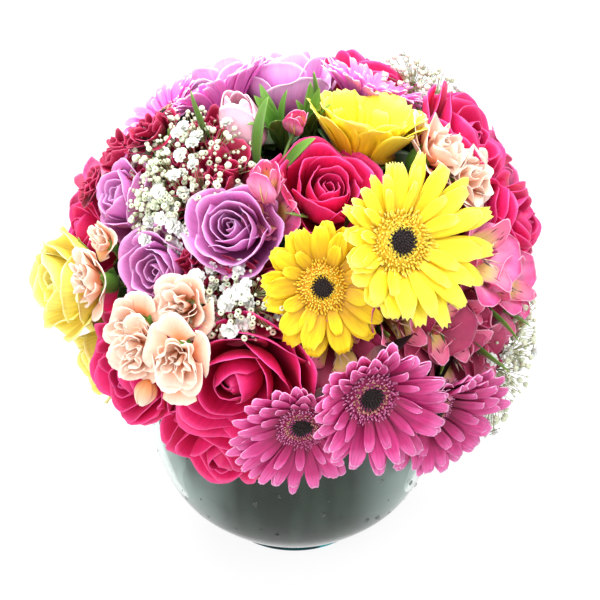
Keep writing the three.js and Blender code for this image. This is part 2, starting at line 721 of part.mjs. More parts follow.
function place(name, solid, colour, roughness = 0.6) {
  const { vertProperties, triVerts } = solid.getMesh();
  const geometry = new THREE.BufferGeometry();
  geometry.setAttribute("position", new THREE.BufferAttribute(vertProperties, 3));
  geometry.setIndex(new THREE.BufferAttribute(triVerts, 1));
  geometry.computeVertexNormals();
  const color = COLOURS[colour];
  const material = new THREE.MeshStandardMaterial({ color, roughness, metalness: 0 });
  const mesh = new THREE.Mesh(geometry, material);
  mesh.name = name;
  bouquet.add(mesh);
}

ROSES.forEach((plan) => place(plan.name, rose(plan), plan.colour));
GERBERAS.forEach((plan) => {
  place(plan.name, gerbera(plan), plan.colour);
  if (!plan.plain) place(plan.name + "_eye", gerberaEye(plan), "eye", 0.9);
});
CARNATIONS.forEach((plan) => place(plan.name, spray(plan, carnationHead), plan.colour));
ALSTROEMERIAS.forEach((plan) => place(plan.name, spray(plan, alstroemeriaHead), "alstroemeria"));
GYPSOPHILAS.forEach((plan, i) => place(plan.name, gypsophila(plan, 11 + i), "gypsophila"));
LEAVES.forEach((plan) => place(plan.name, spray(plan, leafTuft), "leaf"));
place("tulip_petals", tulipPetals(), "tulip");
place("tulip_stem", tulipStem(), "leaf");
place("glass_bowl", glassBowl(), "glass", 0.05);
place("leaf_lining", leafLining(), "lining", 0.5);
place("floral_foam", foamBlock(), "foam", 0.95);

export default bouquet;
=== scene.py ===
# %% [markdown]
# # A round flower arrangement in a glass bowl
# Roses, gerberas, spray carnations, alstroemeria, a tulip and gypsophila stand in a ball of soaked
# foam, inside a clear glass bowl lined with a dark leaf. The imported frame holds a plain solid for
# every bloom, at its real size and place. This script grows fine petals in the place of each solid.
# Petals are thin sheets with a lot of bend and little thickness, so each one starts as a flat grid
# that is bent by a formula, and a Solidify modifier gives the sheet its thickness at the end.

# %% Load the frame
import math
import random

import bmesh
import bpy
import numpy as np
from mathutils import Matrix, Vector, noise


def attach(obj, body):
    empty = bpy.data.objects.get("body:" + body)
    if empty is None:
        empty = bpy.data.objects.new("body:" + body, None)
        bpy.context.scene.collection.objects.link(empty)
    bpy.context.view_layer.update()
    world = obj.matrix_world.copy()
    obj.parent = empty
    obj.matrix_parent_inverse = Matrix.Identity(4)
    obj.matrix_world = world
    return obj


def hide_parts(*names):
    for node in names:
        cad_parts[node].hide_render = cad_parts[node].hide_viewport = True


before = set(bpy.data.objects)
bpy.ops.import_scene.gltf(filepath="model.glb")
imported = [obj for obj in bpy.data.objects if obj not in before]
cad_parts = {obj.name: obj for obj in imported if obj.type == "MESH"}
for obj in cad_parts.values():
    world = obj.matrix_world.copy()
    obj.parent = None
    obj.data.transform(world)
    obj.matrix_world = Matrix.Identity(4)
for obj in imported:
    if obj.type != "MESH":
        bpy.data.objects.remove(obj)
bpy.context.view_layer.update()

print("nodes in the frame:", len(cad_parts))

# %% [markdown]
# ## Camera
# The photograph looks down at the bowl by about 30 degrees with a long lens. A wide lens close by
# would make the ball of flowers bulge, so the camera stands a metre away with a long one.

# %% Camera
CAMERA_TILT = math.radians(30)
CAMERA_DISTANCE = 1.0
LENS = 94.2
SENSOR = 36
LOOK_AT = Vector((0.0037, 0, 0.1642))


def add_object(name, data):
    thing = bpy.data.objects.new(name, data)
    bpy.context.scene.collection.objects.link(thing)
    return thing


camera_data = bpy.data.cameras.new("camera")
camera_data.sensor_width = SENSOR
camera_data.lens = LENS
camera = add_object("camera", camera_data)
back = Vector((0, -math.cos(CAMERA_TILT), math.sin(CAMERA_TILT)))
camera.location = LOOK_AT + CAMERA_DISTANCE * back
camera.rotation_euler = (math.pi / 2 - CAMERA_TILT, 0, 0)
bpy.context.scene.camera = camera
print("camera at", [round(x, 3) for x in camera.location])

# %% [markdown]
# ## Floor
# The bowl stands on a white sweep that is nearly burnt out. A bright diffuse floor would throw pink
# light back into the petals, so the paper is a dark grey that glows a little by itself. That keeps
# it white to the camera, and the shadow under the bowl stays faint.

# %% Floor
FLOOR_HALF = 14
PAPER_GREY = (0.16, 0.16, 0.16, 1)
PAPER_GLOW = 0.88
WHITE = (1, 1, 1, 1)


def new_finish(name):
    """A new material, with its node tree and its shader."""
    material = bpy.data.materials.new(name)
    material.use_nodes = True
    return material, material.node_tree, material.node_tree.nodes["Principled BSDF"]


def set_shader(shader, settings):
    """Numbers and colours that are the same all over go on the shader's own sockets."""
    for socket, value in settings.items():
        shader.inputs[socket].default_value = value


bm = bmesh.new()
bmesh.ops.create_grid(bm, x_segments=1, y_segments=1, size=FLOOR_HALF)
floor_mesh = bpy.data.meshes.new("floor")
bm.to_mesh(floor_mesh)
bm.free()
floor = add_object("floor", floor_mesh)
paper, _, paper_shader = new_finish("paper")
set_shader(paper_shader, {"Base Color": PAPER_GREY, "Roughness": 0.7, "Emission Color": WHITE,
                          "Emission Strength": PAPER_GLOW})
floor_mesh.materials.append(paper)
print("floor half width:", FLOOR_HALF, "m")

# %% [markdown]
# ## Light
# The studio light is soft and comes from all sides. The sky gives most of it. One large lamp above
# and two beside the camera give the petals a light side and a dark side.

# %% Sky and lamps
SKY_STRENGTH = 0.5
# Place, the point it faces, width in metres and power in watts
LAMPS = {
    "top light": ((-0.15, 0.1, 1.5), (0, 0, 0.15), 1.2, 38),
    "left light": ((-0.7, -1.3, 0.9), (0, 0, 0.2), 1.0, 15),
    "right light": ((0.9, -0.6, 1.0), (0, 0, 0.26), 1.0, 8),
}

world = bpy.data.worlds.new("studio")
world.use_nodes = True
set_shader(world.node_tree.nodes["Background"], {"Color": WHITE, "Strength": SKY_STRENGTH})
bpy.context.scene.world = world
bpy.context.scene.view_settings.view_transform = "Standard"
for name, (place, towards, width, power) in LAMPS.items():
    light = bpy.data.lights.new(name, "AREA")
    light.size = width
    light.energy = power
    lamp = add_object(name, light)
    lamp.location = place
    lamp.rotation_euler = (Vector(towards) - Vector(place)).to_track_quat("-Z", "Y").to_euler()
print("lamps:", list(LAMPS))

# %% [markdown]
# ## Where each head sits
# A florist turns every head to face away from the middle of the ball. The plan gives each head a
# direction, a distance and a radius, as the frame's solids have them. The sums in the next steps
# repeat those of the solids, so each fine head lands on its own solid.

# %% The planting plan
# Azimuth (0 is the front, positive to the right), elevation, distance from the focus, radius and
# spin, in degrees and millimetres.
ROSES = {
    "rose_pink_front": (-13, 2, 153, 37, 20),
    "rose_pink_front_left": (-45, -4, 146, 33, 70),
    "rose_pink_low": (-21, -24, 143, 31, 10),
    "rose_pink_crown": (11, 51, 138, 31, 40),
    "rose_pink_right_high": (79, 43, 144, 32, 5),
    "rose_pink_right": (76, 21, 148, 30, 55),
    "rose_pink_left": (-78, 18, 144, 27, 33),
    "rose_lilac_front": (-16, 36, 146, 29, 0),
    "rose_lilac_left": (-38, 23, 143, 25, 62),
    "rose_lilac_side": (-61, 35, 142, 25, 15),
    "rose_lilac_top": (-174, 73, 134, 28, 45),
    "rose_yellow_left": (-64, 10, 150, 29, 25),
    "rose_yellow_low": (-62, -13, 143, 27, 50),
    "rose_pink_back_right": (124, -7, 148, 34, 30),
    "rose_lilac_back_low": (-167, -8, 148, 33, 12),
    "rose_pink_back_left": (-108, -6, 147, 33, 64),
    "rose_yellow_back": (168, 22, 149, 33, 48),
    "rose_pink_back": (-128, 24, 147, 33, 8),
    "rose_pink_back_high": (144, 49, 142, 31, 22),
    "rose_lilac_back": (-146, 50, 142, 31, 37),
}
# Azimuth, elevation, distance, radius, and the cup: how far the rays rise.
GERBERAS = {
    "gerbera_yellow_front": (7, 25, 147, 33, 8),
    "gerbera_yellow_right": (27, 32, 154, 40, 4),
    "gerbera_yellow_crown": (48, 64, 138, 35, 52),
    "gerbera_magenta_front": (2, -7, 157, 32, 6),
    "gerbera_magenta_middle": (17, 1, 158, 34, 10),
    "gerbera_magenta_right": (36, -9, 150, 36, 16),
    "gerbera_pink_crown_right": (109, 68, 132, 35, 30),
    "gerbera_pink_crown_left": (-111, 69, 131, 35, 30),
    "gerbera_pink_left": (-112, 48, 134, 30, 22),
    "gerbera_yellow_side": (93, -9, 147, 35, 10),
    "gerbera_magenta_back": (158, -9, 147, 36, 8),
    "gerbera_yellow_back": (-138, -8, 147, 36, 8),
    "gerbera_pink_back": (134, 22, 147, 37, 12),
}
# Heads of a spray: azimuth, elevation, distance and radius.
CARNATIONS = {
    "carnation_peach_front": [(-33, 12, 155, 15), (-30, 7, 158, 15), (-22, 17, 153, 15), (-22, 8, 160, 15)],
    "carnation_peach_left": [(-53, 15, 149, 14), (-56, 24, 144, 9)],
    "carnation_peach_right": [(63, 48, 141, 14), (67, 37, 143, 14)],
    "carnation_crimson_left": [(-68, 55, 138, 14), (-78, 41, 143, 14), (-77, 30, 146, 12)],
    "carnation_crimson_back": [(-173, 46, 143, 15), (-157, 25, 148, 16)],
}
ALSTROEMERIAS = {
    "alstroemeria_right": [(55, 23, 150, 21), (61, 14, 149, 19), (71, 6, 146, 16)],
    "alstroemeria_low": [(34, 11, 147, 19), (50, -1, 143, 17)],
    "alstroemeria_crown": [(-7, 47, 141, 14), (3, 66, 137, 12)],
    "alstroemeria_side": [(107, 13, 149, 19), (103, 28, 147, 14)],
    "alstroemeria_left": [(-103, 19, 148, 20)],
}
GYPSOPHILAS = {
    "gypsophila_left": (-43, 49, 144, 30),
    "gypsophila_front": (-15, 24, 146, 18),
    "gypsophila_right": (73, -12, 152, 24),
    "gypsophila_back": (113, 40, 149, 24),
}
TULIP = (-32, 69, 136, 16, 20)
TULIP_FACE = (-30, 84)
CROWN_FACE = (30, 74)
LEAF_TUFTS = [(-20, 70, 140, 12), (16, 72, 138, 11)]
print("blooms planned:", len(ROSES) + len(GERBERAS))

# %% [markdown]
# ## A seat for each head
# Each kind of bloom has its own outline: a rose is a low cup, a tulip a tall one. A head sits with its
# base on the line from the focus of the ball, and its matrix turns and sizes it. A matrix suits this
# better than an object's own rotation, because the press below also squashes it sideways.

# %% The outline of each kind of head, as (out, up) in shares of its radius
OUTLINES = {
    "rose": [(0.32, 1.3), (1.13, 0.96), (0.86, 0.46), (0, -0.12)],
    "carnation": [(0.48, 1.5), (0.9, 1.34), (1.12, 0.9), (0.3, 0.1), (0, -0.14)],
    "alstroemeria": [(0.4, 1.56), (1.1, 1.54), (1.14, 1.14), (0.5, 0.8), (0, -0.16)],
    "gypsophila": [(0.6, 1.5), (1.15, 1.1), (1.2, 0.2), (0, -0.1)],
    "tulip": [(0.6, 2.65), (0.95, 1.9), (1.08, 0.8), (0, -0.1)],
    "leaves": [(0.5, 2.5), (1, 2.1), (0.5, 0.7), (0, -0.1)],
}
GERBERA_DISC = 0.24


def gerbera_outline(cup):
    reach = 1.06 - GERBERA_DISC
    out = GERBERA_DISC + reach * math.cos(math.radians(cup))
    level = 0.3 + reach * math.sin(math.radians(cup))
    return [(0.25, 0.48), (out, level + 0.02), (out, level - 0.16), (0.2, 0.02)]


print("outline of a flat gerbera:", gerbera_outline(0))

# %% A seat for each head: its matrix in millimetres
FOCUS = Vector((0, 0, 186))
FULLNESS = 1.1
BASE_DEPTH = 0.85
HEART_RISE = 0.55
GERBERA_SPIN = 11
SPRAY_SPIN = 25
SPRAYS = [(CARNATIONS, "carnation"), (ALSTROEMERIAS, "alstroemeria"),
          ({"leaves_crown": LEAF_TUFTS}, "leaves")]
seats = {}


def direction(azimuth, elevation):
    turn, rise = math.radians(azimuth), math.radians(elevation)
    level = math.cos(rise)
    return Vector((math.sin(turn) * level, -math.cos(turn) * level, math.sin(rise)))


def add_seat(key, place, outline, spin=0, face=None):
    azimuth, elevation, distance, radius = place
    axis = direction(*(face or (azimuth, elevation)))
    size = radius * FULLNESS
    height = size * max(level for _, level in outline)
    base = FOCUS + distance * direction(azimuth, elevation) - BASE_DEPTH * height * axis
    side = Matrix.Rotation(math.radians(spin), 3, axis) @ Vector((0, 0, 1)).cross(axis).normalized()
    turn = Matrix((side, axis.cross(side), axis)).transposed()
    matrix = Matrix.Translation(base) @ turn.to_4x4() @ Matrix.Diagonal((size, size, size, 1))
    heart = base + HEART_RISE * height * axis
    seats[key] = {"size": size, "outline": outline, "open": np.array(matrix), "matrix": np.array(matrix),
                  "heart": np.array(heart), "walls": []}


for key, (*place, spin) in ROSES.items():
    add_seat(key, place, OUTLINES["rose"], spin)
for i, (key, (*place, cup)) in enumerate(GERBERAS.items()):
    face = CROWN_FACE if key == "gerbera_yellow_crown" else None
    add_seat(key, place, gerbera_outline(cup), GERBERA_SPIN * i, face)
for key, place in GYPSOPHILAS.items():
    add_seat(key, place, OUTLINES["gypsophila"])
*place, spin = TULIP
add_seat("tulip", place, OUTLINES["tulip"], spin, TULIP_FACE)
for sprays, kind in SPRAYS:
    for key, heads in sprays.items():
        for i, place in enumerate(heads):
            add_seat(f"{key}{i}", place, OUTLINES[kind], SPRAY_SPIN * i)
print("heads:", len(seats))

# %% [markdown]
# ## Pressing the heads together
# In a tight bouquet the heads press on each other, so none of them keeps its full round shape. The
# physical way would be a soft body simulation of fifty heads. A wall between two neighbours, square
# to the direction in which they overlap least, does as well: each head is flattened until it fits
# inside its walls. The glass ball and the foam ball are walls too.

# %% Walls between heads that would overlap
CELL_MARGIN = 0.6
TRIALS = 500
NEIGHBOUR_REACH = 2
LEAST_FACING = 0.1
BOWL_RADIUS = 95
FOOT_RADIUS = 45
MOUTH_RADIUS = 62
BOWL_CENTRE = math.sqrt(BOWL_RADIUS**2 - FOOT_RADIUS**2)
FOAM_BALL_CENTRE = 164
FOAM_BALL_RADIUS = 55


def golden_turn(i):
    """Steps of the golden angle spread points evenly, as seeds stand in a flower head."""
    return i * math.pi * (3 - math.sqrt(5))


steps = np.arange(TRIALS)
rise = 1 - (2 * steps + 1) / TRIALS
level = np.sqrt(1 - rise**2)
turn = golden_turn(steps)
TRIAL_DIRECTIONS = np.stack([level * np.cos(turn), level * np.sin(turn), rise], axis=1)


def span(seat, normals):
    """How far a head reaches along each normal, and how far back against it."""
    own = normals @ seat["matrix"][:3, :3]
    centre = normals @ seat["matrix"][:3, 3]
    across = np.hypot(own[..., 0], own[..., 1])
    reaches = [own[..., 2] * level + across * out for out, level in seat["outline"]]
    backs = [own[..., 2] * level - across * out for out, level in seat["outline"]]
    return centre + np.max(reaches, axis=0), centre + np.min(backs, axis=0)


def wall_between(mine, other):
    between = other["heart"] - mine["heart"]
    length = np.linalg.norm(between)
    if length > NEIGHBOUR_REACH * (mine["size"] + other["size"]):
        return
    usable = TRIAL_DIRECTIONS[TRIAL_DIRECTIONS @ between >= LEAST_FACING * length]
    reach, behind = span(mine, usable)[0], span(other, usable)[1]
    best = int(np.argmax(behind - reach))
    if behind[best] - reach[best] > 2 * CELL_MARGIN:
        return
    middle = (behind[best] + reach[best]) / 2
    mine["walls"].append((usable[best], middle - CELL_MARGIN))
    other["walls"].append((-usable[best], -middle - CELL_MARGIN))


everyone = list(seats.values())
for i, mine in enumerate(everyone):
    for other in everyone[i + 1 :]:
        wall_between(mine, other)
    for height, radius in ((BOWL_CENTRE, BOWL_RADIUS), (FOAM_BALL_CENTRE, FOAM_BALL_RADIUS)):
        centre = np.array((0, 0, height))
        normal = (centre - mine["heart"]) / np.linalg.norm(centre - mine["heart"])
        mine["walls"].append((normal, centre @ normal - radius - CELL_MARGIN))
print("walls:", sum(len(seat["walls"]) for seat in everyone))

# %% Flatten each head until it just fits inside its walls
PRESS_ROUNDS = 4
LEAST_SQUASH = 0.3


def press(seat):
    for _ in range(PRESS_ROUNDS):
        for normal, limit in seat["walls"]:
            reach, behind = span(seat, normal)
            if reach <= limit:
                continue
            loss = 1 - max((limit - behind) / (reach - behind), LEAST_SQUASH)
            flatten = np.eye(4)
            flatten[:3, :3] -= loss * np.outer(normal, normal)
            flatten[:3, 3] = loss * behind * normal
            seat["matrix"] = flatten @ seat["matrix"]


for seat in everyone:
    press(seat)
volumes = [np.linalg.det(seat["matrix"][:3, :3]) / seat["size"] ** 3 for seat in everyone]
print("least volume kept:", round(min(volumes), 2))

# %% [markdown]
# ## Deeper heads
# Between the large heads the photograph shows smaller blooms lower down, which carry nothing. They
# could be solids too, but they are soft filling, so they are in the looks alone. They sit a little
# nearer the focus, and aren't pressed.

# %% Deeper heads, with the same four numbers as the plan
DEEP_HEADS = {
    "alstroemeria_low": [(42, 9, 139, 21), (60, 5, 139, 20), (25, 14, 145, 17), (52, 14, 141, 18),
                         (43, 0, 140, 19), (56, -6, 140, 17), (11, 9, 141, 17)],
    "alstroemeria_side": [(88, 6, 143, 20), (84, -6, 141, 18)],
    "alstroemeria_deep": [(-7, 42, 134, 12)],
    "carnation_crimson_left": [(-62, 40, 130, 14), (-52, 60, 126, 14)],
    "carnation_crimson_deep": [(-15, 21, 131, 17), (-24, 26, 130, 15), (-6, 22, 130, 15), (-40, 44, 126, 17),
                               (-27, 51, 126, 16), (-52, 50, 126, 15), (56, 36, 130, 16), (66, 28, 134, 15)],
}
DEEP_CLOUD = (-45, 38, 143, 17)

add_seat("gypsophila_deep", DEEP_CLOUD, OUTLINES["gypsophila"])
for key, heads in DEEP_HEADS.items():
    first = len({**CARNATIONS, **ALSTROEMERIAS}.get(key, []))
    for i, place in enumerate(heads):
        add_seat(f"{key}{first + i}", place, OUTLINES[key.split("_")[0]], SPRAY_SPIN * i)
print("deep heads:", sum(len(heads) for heads in DEEP_HEADS.values()))

# %% [markdown]
# ## How each head settles
# No head in a real bouquet sits quite as planned. Some are a little more open than their neighbours,
# stand a few millimetres to one side, or lean. A table of small moves keeps that in one place, and
# every head still covers its own solid and stem.

# %% Small moves of single heads
MM = 0.001
OPEN_SHARE = 0.3
AS_PLANNED = (1, 0, 0, 0, 0)
# How wide it is open, its shift along x, y and z in millimetres, and its lean backwards in degrees
SETTLED = {
    "rose_pink_front": (1.12, 0, 0, 0, 0),
    "rose_pink_crown": (1.06, 0, -4, -5, 0),
    "rose_pink_right": (1, 2, -3, 1, 0),
    "rose_pink_right_high": (1.12, 4, -4, 5, 0),
    "rose_pink_back": (0.88, 5, 0, -4, 0),
    "rose_pink_back_high": (0.9, 0, 0, 0, 0),
    "rose_lilac_front": (0.95, 0, 0, 0, 0),
    "rose_lilac_top": (1.14, -2, 0, -2, 0),
    "rose_lilac_back": (0.8, 0, 0, 0, 0),
    "rose_yellow_left": (1.06, -6, 0, 0, 0),
    "gerbera_yellow_crown": (1.22, -5, -4, -7, 16),
    "gerbera_yellow_side": (0.84, -6, 0, 0, 0),
    "gerbera_magenta_front": (1.08, 1, 0, 6, 0),
    "gerbera_magenta_middle": (1.08, -5, 0, 2, 0),
    "gerbera_magenta_right": (1.08, -7, 0, -3, 0),
    "gerbera_pink_crown_left": (1.1, 0, -4, -7, 14),
    "gerbera_pink_crown_right": (1, 0, -2, -3, 8),
    "gerbera_pink_left": (1.16, 3, -2, -6, -24),
    "carnation_peach_front0": (1, -5, 0, 1, 0),
    "carnation_peach_front1": (1, -3, 0, 6, 0),
    "carnation_peach_front2": (1, -3, 0, 3, 0),
    "carnation_peach_front3": (1, -5, 0, 7, 0),
    "carnation_peach_left0": (1.15, -1, -2, 1, 0),
    "carnation_peach_right0": (1.28, -3, -6, 3, 0),
    "carnation_peach_right1": (1.25, -8, -4, 4, 0),
    "carnation_crimson_left0": (0.92, -5, -8, 0, 0),
    "carnation_crimson_left1": (0.92, 4, -7, 0, 0),
    "carnation_crimson_left2": (0.84, 2, -2, -2, 0),
    "carnation_crimson_back0": (0.8, 0, 0, -6, 0),
    "alstroemeria_left0": (0.8, 0, 0, 0, 0),
    "alstroemeria_right0": (1, -3, 0, -7, 0),
    "alstroemeria_crown0": (1.25, 0, 0, 0, 0),
    "tulip": (1, -4, 0, 4, 0),
}


def head_matrix(key):
    """The matrix of a head in metres, a little less flattened than its solid."""
    spread, *shift, lean = SETTLED.get(key, AS_PLANNED)
    blend = (1 - OPEN_SHARE) * seats[key]["matrix"] + OPEN_SHARE * seats[key]["open"]
    placed = Matrix.Translation(MM * Vector(shift)) @ Matrix.Scale(MM, 4) @ Matrix(blend.tolist())
    heart = placed @ Vector((0, 0, 0.3))
    leaned = Matrix.Rotation(math.radians(-lean), 4, "X")
    placed = Matrix.Translation(heart) @ leaned @ Matrix.Translation(-heart) @ placed
    return placed @ Matrix.Scale(spread, 4)


print("heads that settle:", len(SETTLED))

# %% Helpers that join meshes and finish a piece
def dress(name, mesh, materials, slot, replaces):
    """Put a mesh in the scene as a piece on the one body."""
    for material in materials:
        mesh.materials.append(material)
    mesh.shade_smooth()
    piece = add_object(name, mesh)
    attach(piece, "root")
    if replaces:
        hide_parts(*replaces)
    return piece


def finish_piece(bm, name, materials, slot, replaces=(), wall=None):
    """Turn a bmesh into a piece. A wall, in millimetres, makes its sheets solid."""
    mesh = bpy.data.meshes.new(name)
    bm.to_mesh(mesh)
    bm.free()
    piece = dress(name, mesh, materials, slot, replaces)
    if wall:
        sheet = piece.modifiers.new("petal wall", "SOLIDIFY")
        sheet.thickness = wall * MM
        sheet.offset = -1
    return piece


def append_bmesh(target, source, matrix):
    """Add a copy of one bmesh to another, moved by a matrix."""
    carrier = bpy.data.meshes.new("carrier")
    source.to_mesh(carrier)
    carrier.transform(matrix)
    target.from_mesh(carrier)
    bpy.data.meshes.remove(carrier)


print("helpers ready:", dress.__name__, finish_piece.__name__, append_bmesh.__name__)

# %% [markdown]
# ## How a petal is grown
# A real petal is a thin sheet that starts at a narrow claw, bellies out and ends in a lip. Sculpting
# five hundred of them by hand would take days. So each petal starts as a flat grid, and a formula
# bends the grid: a middle line gives how far out and up each row lies, and each row is wrapped
# round the head or laid across it. The flat place of every corner is kept as a UV map, so that
# veins, rims and deep throats follow the petal however it is bent.

# %% Flat grids that keep their own map
flat_grids = {}


def flat_grid(rows, columns):
    if (rows, columns) not in flat_grids:
        bm = bmesh.new()
        bmesh.ops.create_grid(bm, x_segments=columns, y_segments=rows, size=0.5)
        bmesh.ops.translate(bm, vec=(0.5, 0.5, 0), verts=bm.verts)
        own_map = bm.loops.layers.uv.new("petal")
        bm.verts.layers.float_color.new("tag")
        for face in bm.faces:
            for loop in face.loops:
                loop[own_map].uv = loop.vert.co.xy
        flat_grids[rows, columns] = bpy.data.meshes.new("flat grid")
        bm.to_mesh(flat_grids[rows, columns])
        bm.free()
    return flat_grids[rows, columns]


def add_petal(bm, shape, rows, columns, tag=(0, 0, 0), material=0, sway=Vector()):
    """Add a petal. The shape turns u, -1 to 1 across, and v, 0 at the claw to 1 at the rim, to x, y, z.
    The tag holds the petal's layer, its own random share and its head's. The sway moves the petal
    sideways, more the higher up it is."""
    before = len(bm.verts)
    faces_before = len(bm.faces)
    bm.from_mesh(flat_grid(rows, columns))
    bm.verts.ensure_lookup_table()
    bm.faces.ensure_lookup_table()
    verts = bm.verts[before:]
    flat = np.array([vert.co[:2] for vert in verts])
    x, y, z = np.broadcast_arrays(*shape(2 * flat[:, 0] - 1, flat[:, 1]))
    tags = bm.verts.layers.float_color["tag"]
    for i, vert in enumerate(verts):
        vert.co = Vector((x[i], y[i], z[i])) + sway * float(z[i])
        vert[tags] = (*tag, 1)
    for face in bm.faces[faces_before:]:
        face.material_index = material
    return verts


print("grid corners:", len(flat_grid(8, 6).vertices))

# %% The middle line of a petal, and the two ways to lay rows on it
CURVE_STEPS = 40
LIP_STEPS = 16


def middle_line(claw, belly, rim, lip=0.0, roll=0.0):
    """A curve from claw to rim that leans on the belly point, then a lip that rolls by an angle."""
    claw, belly, rim = (np.array(point, dtype=float) for point in (claw, belly, rim))
    t = np.linspace(0, 1, CURVE_STEPS)[:, None]
    line = (1 - t) ** 2 * claw + 2 * t * (1 - t) * belly + t**2 * rim
    if lip:
        heading = math.atan2(rim[1] - belly[1], rim[0] - belly[0])
        bends = heading - math.radians(roll) * np.linspace(0, 1, LIP_STEPS)
        steps = np.stack([np.cos(bends), np.sin(bends)], axis=1) * lip / LIP_STEPS
        line = np.vstack([line, rim + np.cumsum(steps, axis=0)])
    lengths = np.concatenate([[0], np.cumsum(np.linalg.norm(np.diff(line, axis=0), axis=1))])
    return lengths / lengths[-1], line


def follow(line, share):
    lengths, points = line
    return np.interp(share, lengths, points[:, 0]), np.interp(share, lengths, points[:, 1])


def wrap(out, up, angle):
    """Rows wrapped round the head, as on a rose."""
    return out * np.sin(angle), out * np.cos(angle), up


def lay(out, up, across, angle):
    """Rows laid across, as on a daisy ray or a leaf."""
    sin, cos = math.sin(angle), math.cos(angle)
    return out * sin + across * cos, out * cos - across * sin, up


print("a sample line ends at", middle_line((0, 0), (0.5, 0), (1, 1))[1][-1])

# %% Two shapes that many petals share
def cup_shape(line, turn, half_width, dip, twist):
    """A smooth petal wrapped round the head, with its half width in degrees. Its sides end lower than
    its middle by the dip, and one side lies outside the other by the twist."""

    def shape(u, v):
        out, up = follow(line, v * (1 - dip * np.abs(u) ** 2))
        return wrap(out + twist * u * v, up, turn + math.radians(half_width) * u)

    return shape


def strap_shape(line, half_width, turn, channel=0.0, tip=0.14, teeth=0.0, sway=0.0, wide_at=0.65, root=0.4):
    """A narrow petal or leaf laid along a middle line. Its width swells from the root to wide_at."""

    def shape(u, v):
        reach = v * (1 - tip * np.abs(u) ** 2.2 + teeth * np.cos(3 * math.pi * u) * v**8)
        swell = np.clip(v / wide_at, 0, 1)
        width = half_width * (root + (1 - root) * np.sin(0.5 * math.pi * swell))
        width = width * np.where(v > wide_at, 1 - 0.3 * ((v - wide_at) / (1 - wide_at)) ** 2, 1)
        out, up = follow(line, reach)
        up = up + channel * (u**2 - 0.3) * (0.3 + 0.7 * v)
        return lay(out, up, width * u + sway * v**2, turn)

    return shape


def random_nod(rng, size):
    """A sideways lean of a head's heart."""
    return Vector((rng.uniform(-1, 1), rng.uniform(-1, 1), 0)).normalized() * size


print("shapes:", cup_shape.__name__, strap_shape.__name__)

# %% [markdown]
# ## The finishes
# Nothing in a bouquet has one flat colour. Every finish here starts from a few colours on a ramp and
# something that drives the ramp: noise for stems, foam and buds, the petal's own map for petals.
# Image textures could do it too, but noise keeps its detail at any distance.

# %% Short hands for the nodes
def colour(red, green, blue):
    """A colour as a screen shows it, 0 to 255, as the linear colour that Blender works in."""
    shares = [value / 255 for value in (red, green, blue)]
    return [x / 12.92 if x <= 0.04045 else ((x + 0.055) / 1.055) ** 2.4 for x in shares] + [1]


def put_node(tree, kind, inputs=(), **settings):
    node = tree.nodes.new(kind)
    for key, value in settings.items():
        setattr(node, key, value)
    for key, value in dict(inputs).items():
        if isinstance(value, bpy.types.NodeSocket):
            tree.links.new(value, node.inputs[key])
        else:
            node.inputs[key].default_value = value
    return node


def maths(tree, operation, *values):
    return put_node(tree, "ShaderNodeMath", dict(enumerate(values)), operation=operation).outputs[0]


def stretched(tree, value, low, high, to_low=0.0, to_high=1.0):
    """The range from low to high stretched to another range, and held at its ends."""
    inputs = {"Value": value, "From Min": low, "From Max": high, "To Min": to_low, "To Max": to_high}
    return put_node(tree, "ShaderNodeMapRange", inputs).outputs[0]


def body_place(tree):
    return put_node(tree, "ShaderNodeTexCoord").outputs["Object"]


def grain_of(tree, place, scale, detail):
    inputs = {"Vector": place, "Scale": scale, "Detail": detail}
    return put_node(tree, "ShaderNodeTexNoise", inputs).outputs["Fac"]


def ramp_of(tree, stops, factor):
    """Colours along a ramp. Each stop is its place, red, green and blue."""
    ramp = put_node(tree, "ShaderNodeValToRGB", {"Fac": factor})
    elements = ramp.color_ramp.elements
    while len(elements) < len(stops):
        elements.new(0.5)
    for element, (place, *shade) in zip(elements, stops):
        element.position = place
        element.color = colour(*shade)
    return ramp.outputs["Color"]


def mixed(tree, share, first, second):
    """A mix of two colours. Sockets 6 and 7 are the colour sockets of this node."""
    return put_node(tree, "ShaderNodeMix", {0: share, 6: first, 7: second}, data_type="RGBA").outputs[2]


def add_bump(tree, shader, height, strength, distance):
    bump = put_node(tree, "ShaderNodeBump", {"Height": height, "Strength": strength, "Distance": distance})
    tree.links.new(bump.outputs["Normal"], shader.inputs["Normal"])


print("white on a screen is", colour(255, 255, 255))

# %% A finish of fine grain, for stems, buds, eyes and foam
def grain_finish(name, scale, detail, stops, roughness, bump=None, specular=0.5):
    """Noise drives the colours, and also a bump if its strength and depth in metres are given."""
    material, tree, shader = new_finish(name)
    grain = grain_of(tree, body_place(tree), scale, detail)
    tree.links.new(ramp_of(tree, stops, grain), shader.inputs["Base Color"])
    if bump:
        add_bump(tree, shader, grain, *bump)
    set_shader(shader, {"Roughness": roughness, "Specular IOR Level": specular})
    return material


stem_green = grain_finish("stem green", 160, 3, [(0.3, 62, 92, 38), (0.7, 112, 148, 66)], 0.5)
print("first finish:", stem_green.name)

# %% [markdown]
# ## The finish of a petal
# A petal is soft and matt and lets some light through. Its ramp is partly the petal's own colour
# and partly painted light: painted shade darkens it down in the throat, where the head shades it, and
# a painted highlight lightens its rim, which is also thin and paler of itself. Inner layers get more
# painted shade. Fine veins run along it. The colours are a ramp over the petal's own map, the veins
# are noise that is stretched along it, and the tag makes every petal a little different.

# %% The petal finish
VEIN_DRAW = 2.2
VEIN_SHIFT = 40
VEIN_HEIGHT = 0.0006
PATCH_SCALE = 90
STRENGTHS = (0.92, 1.06)


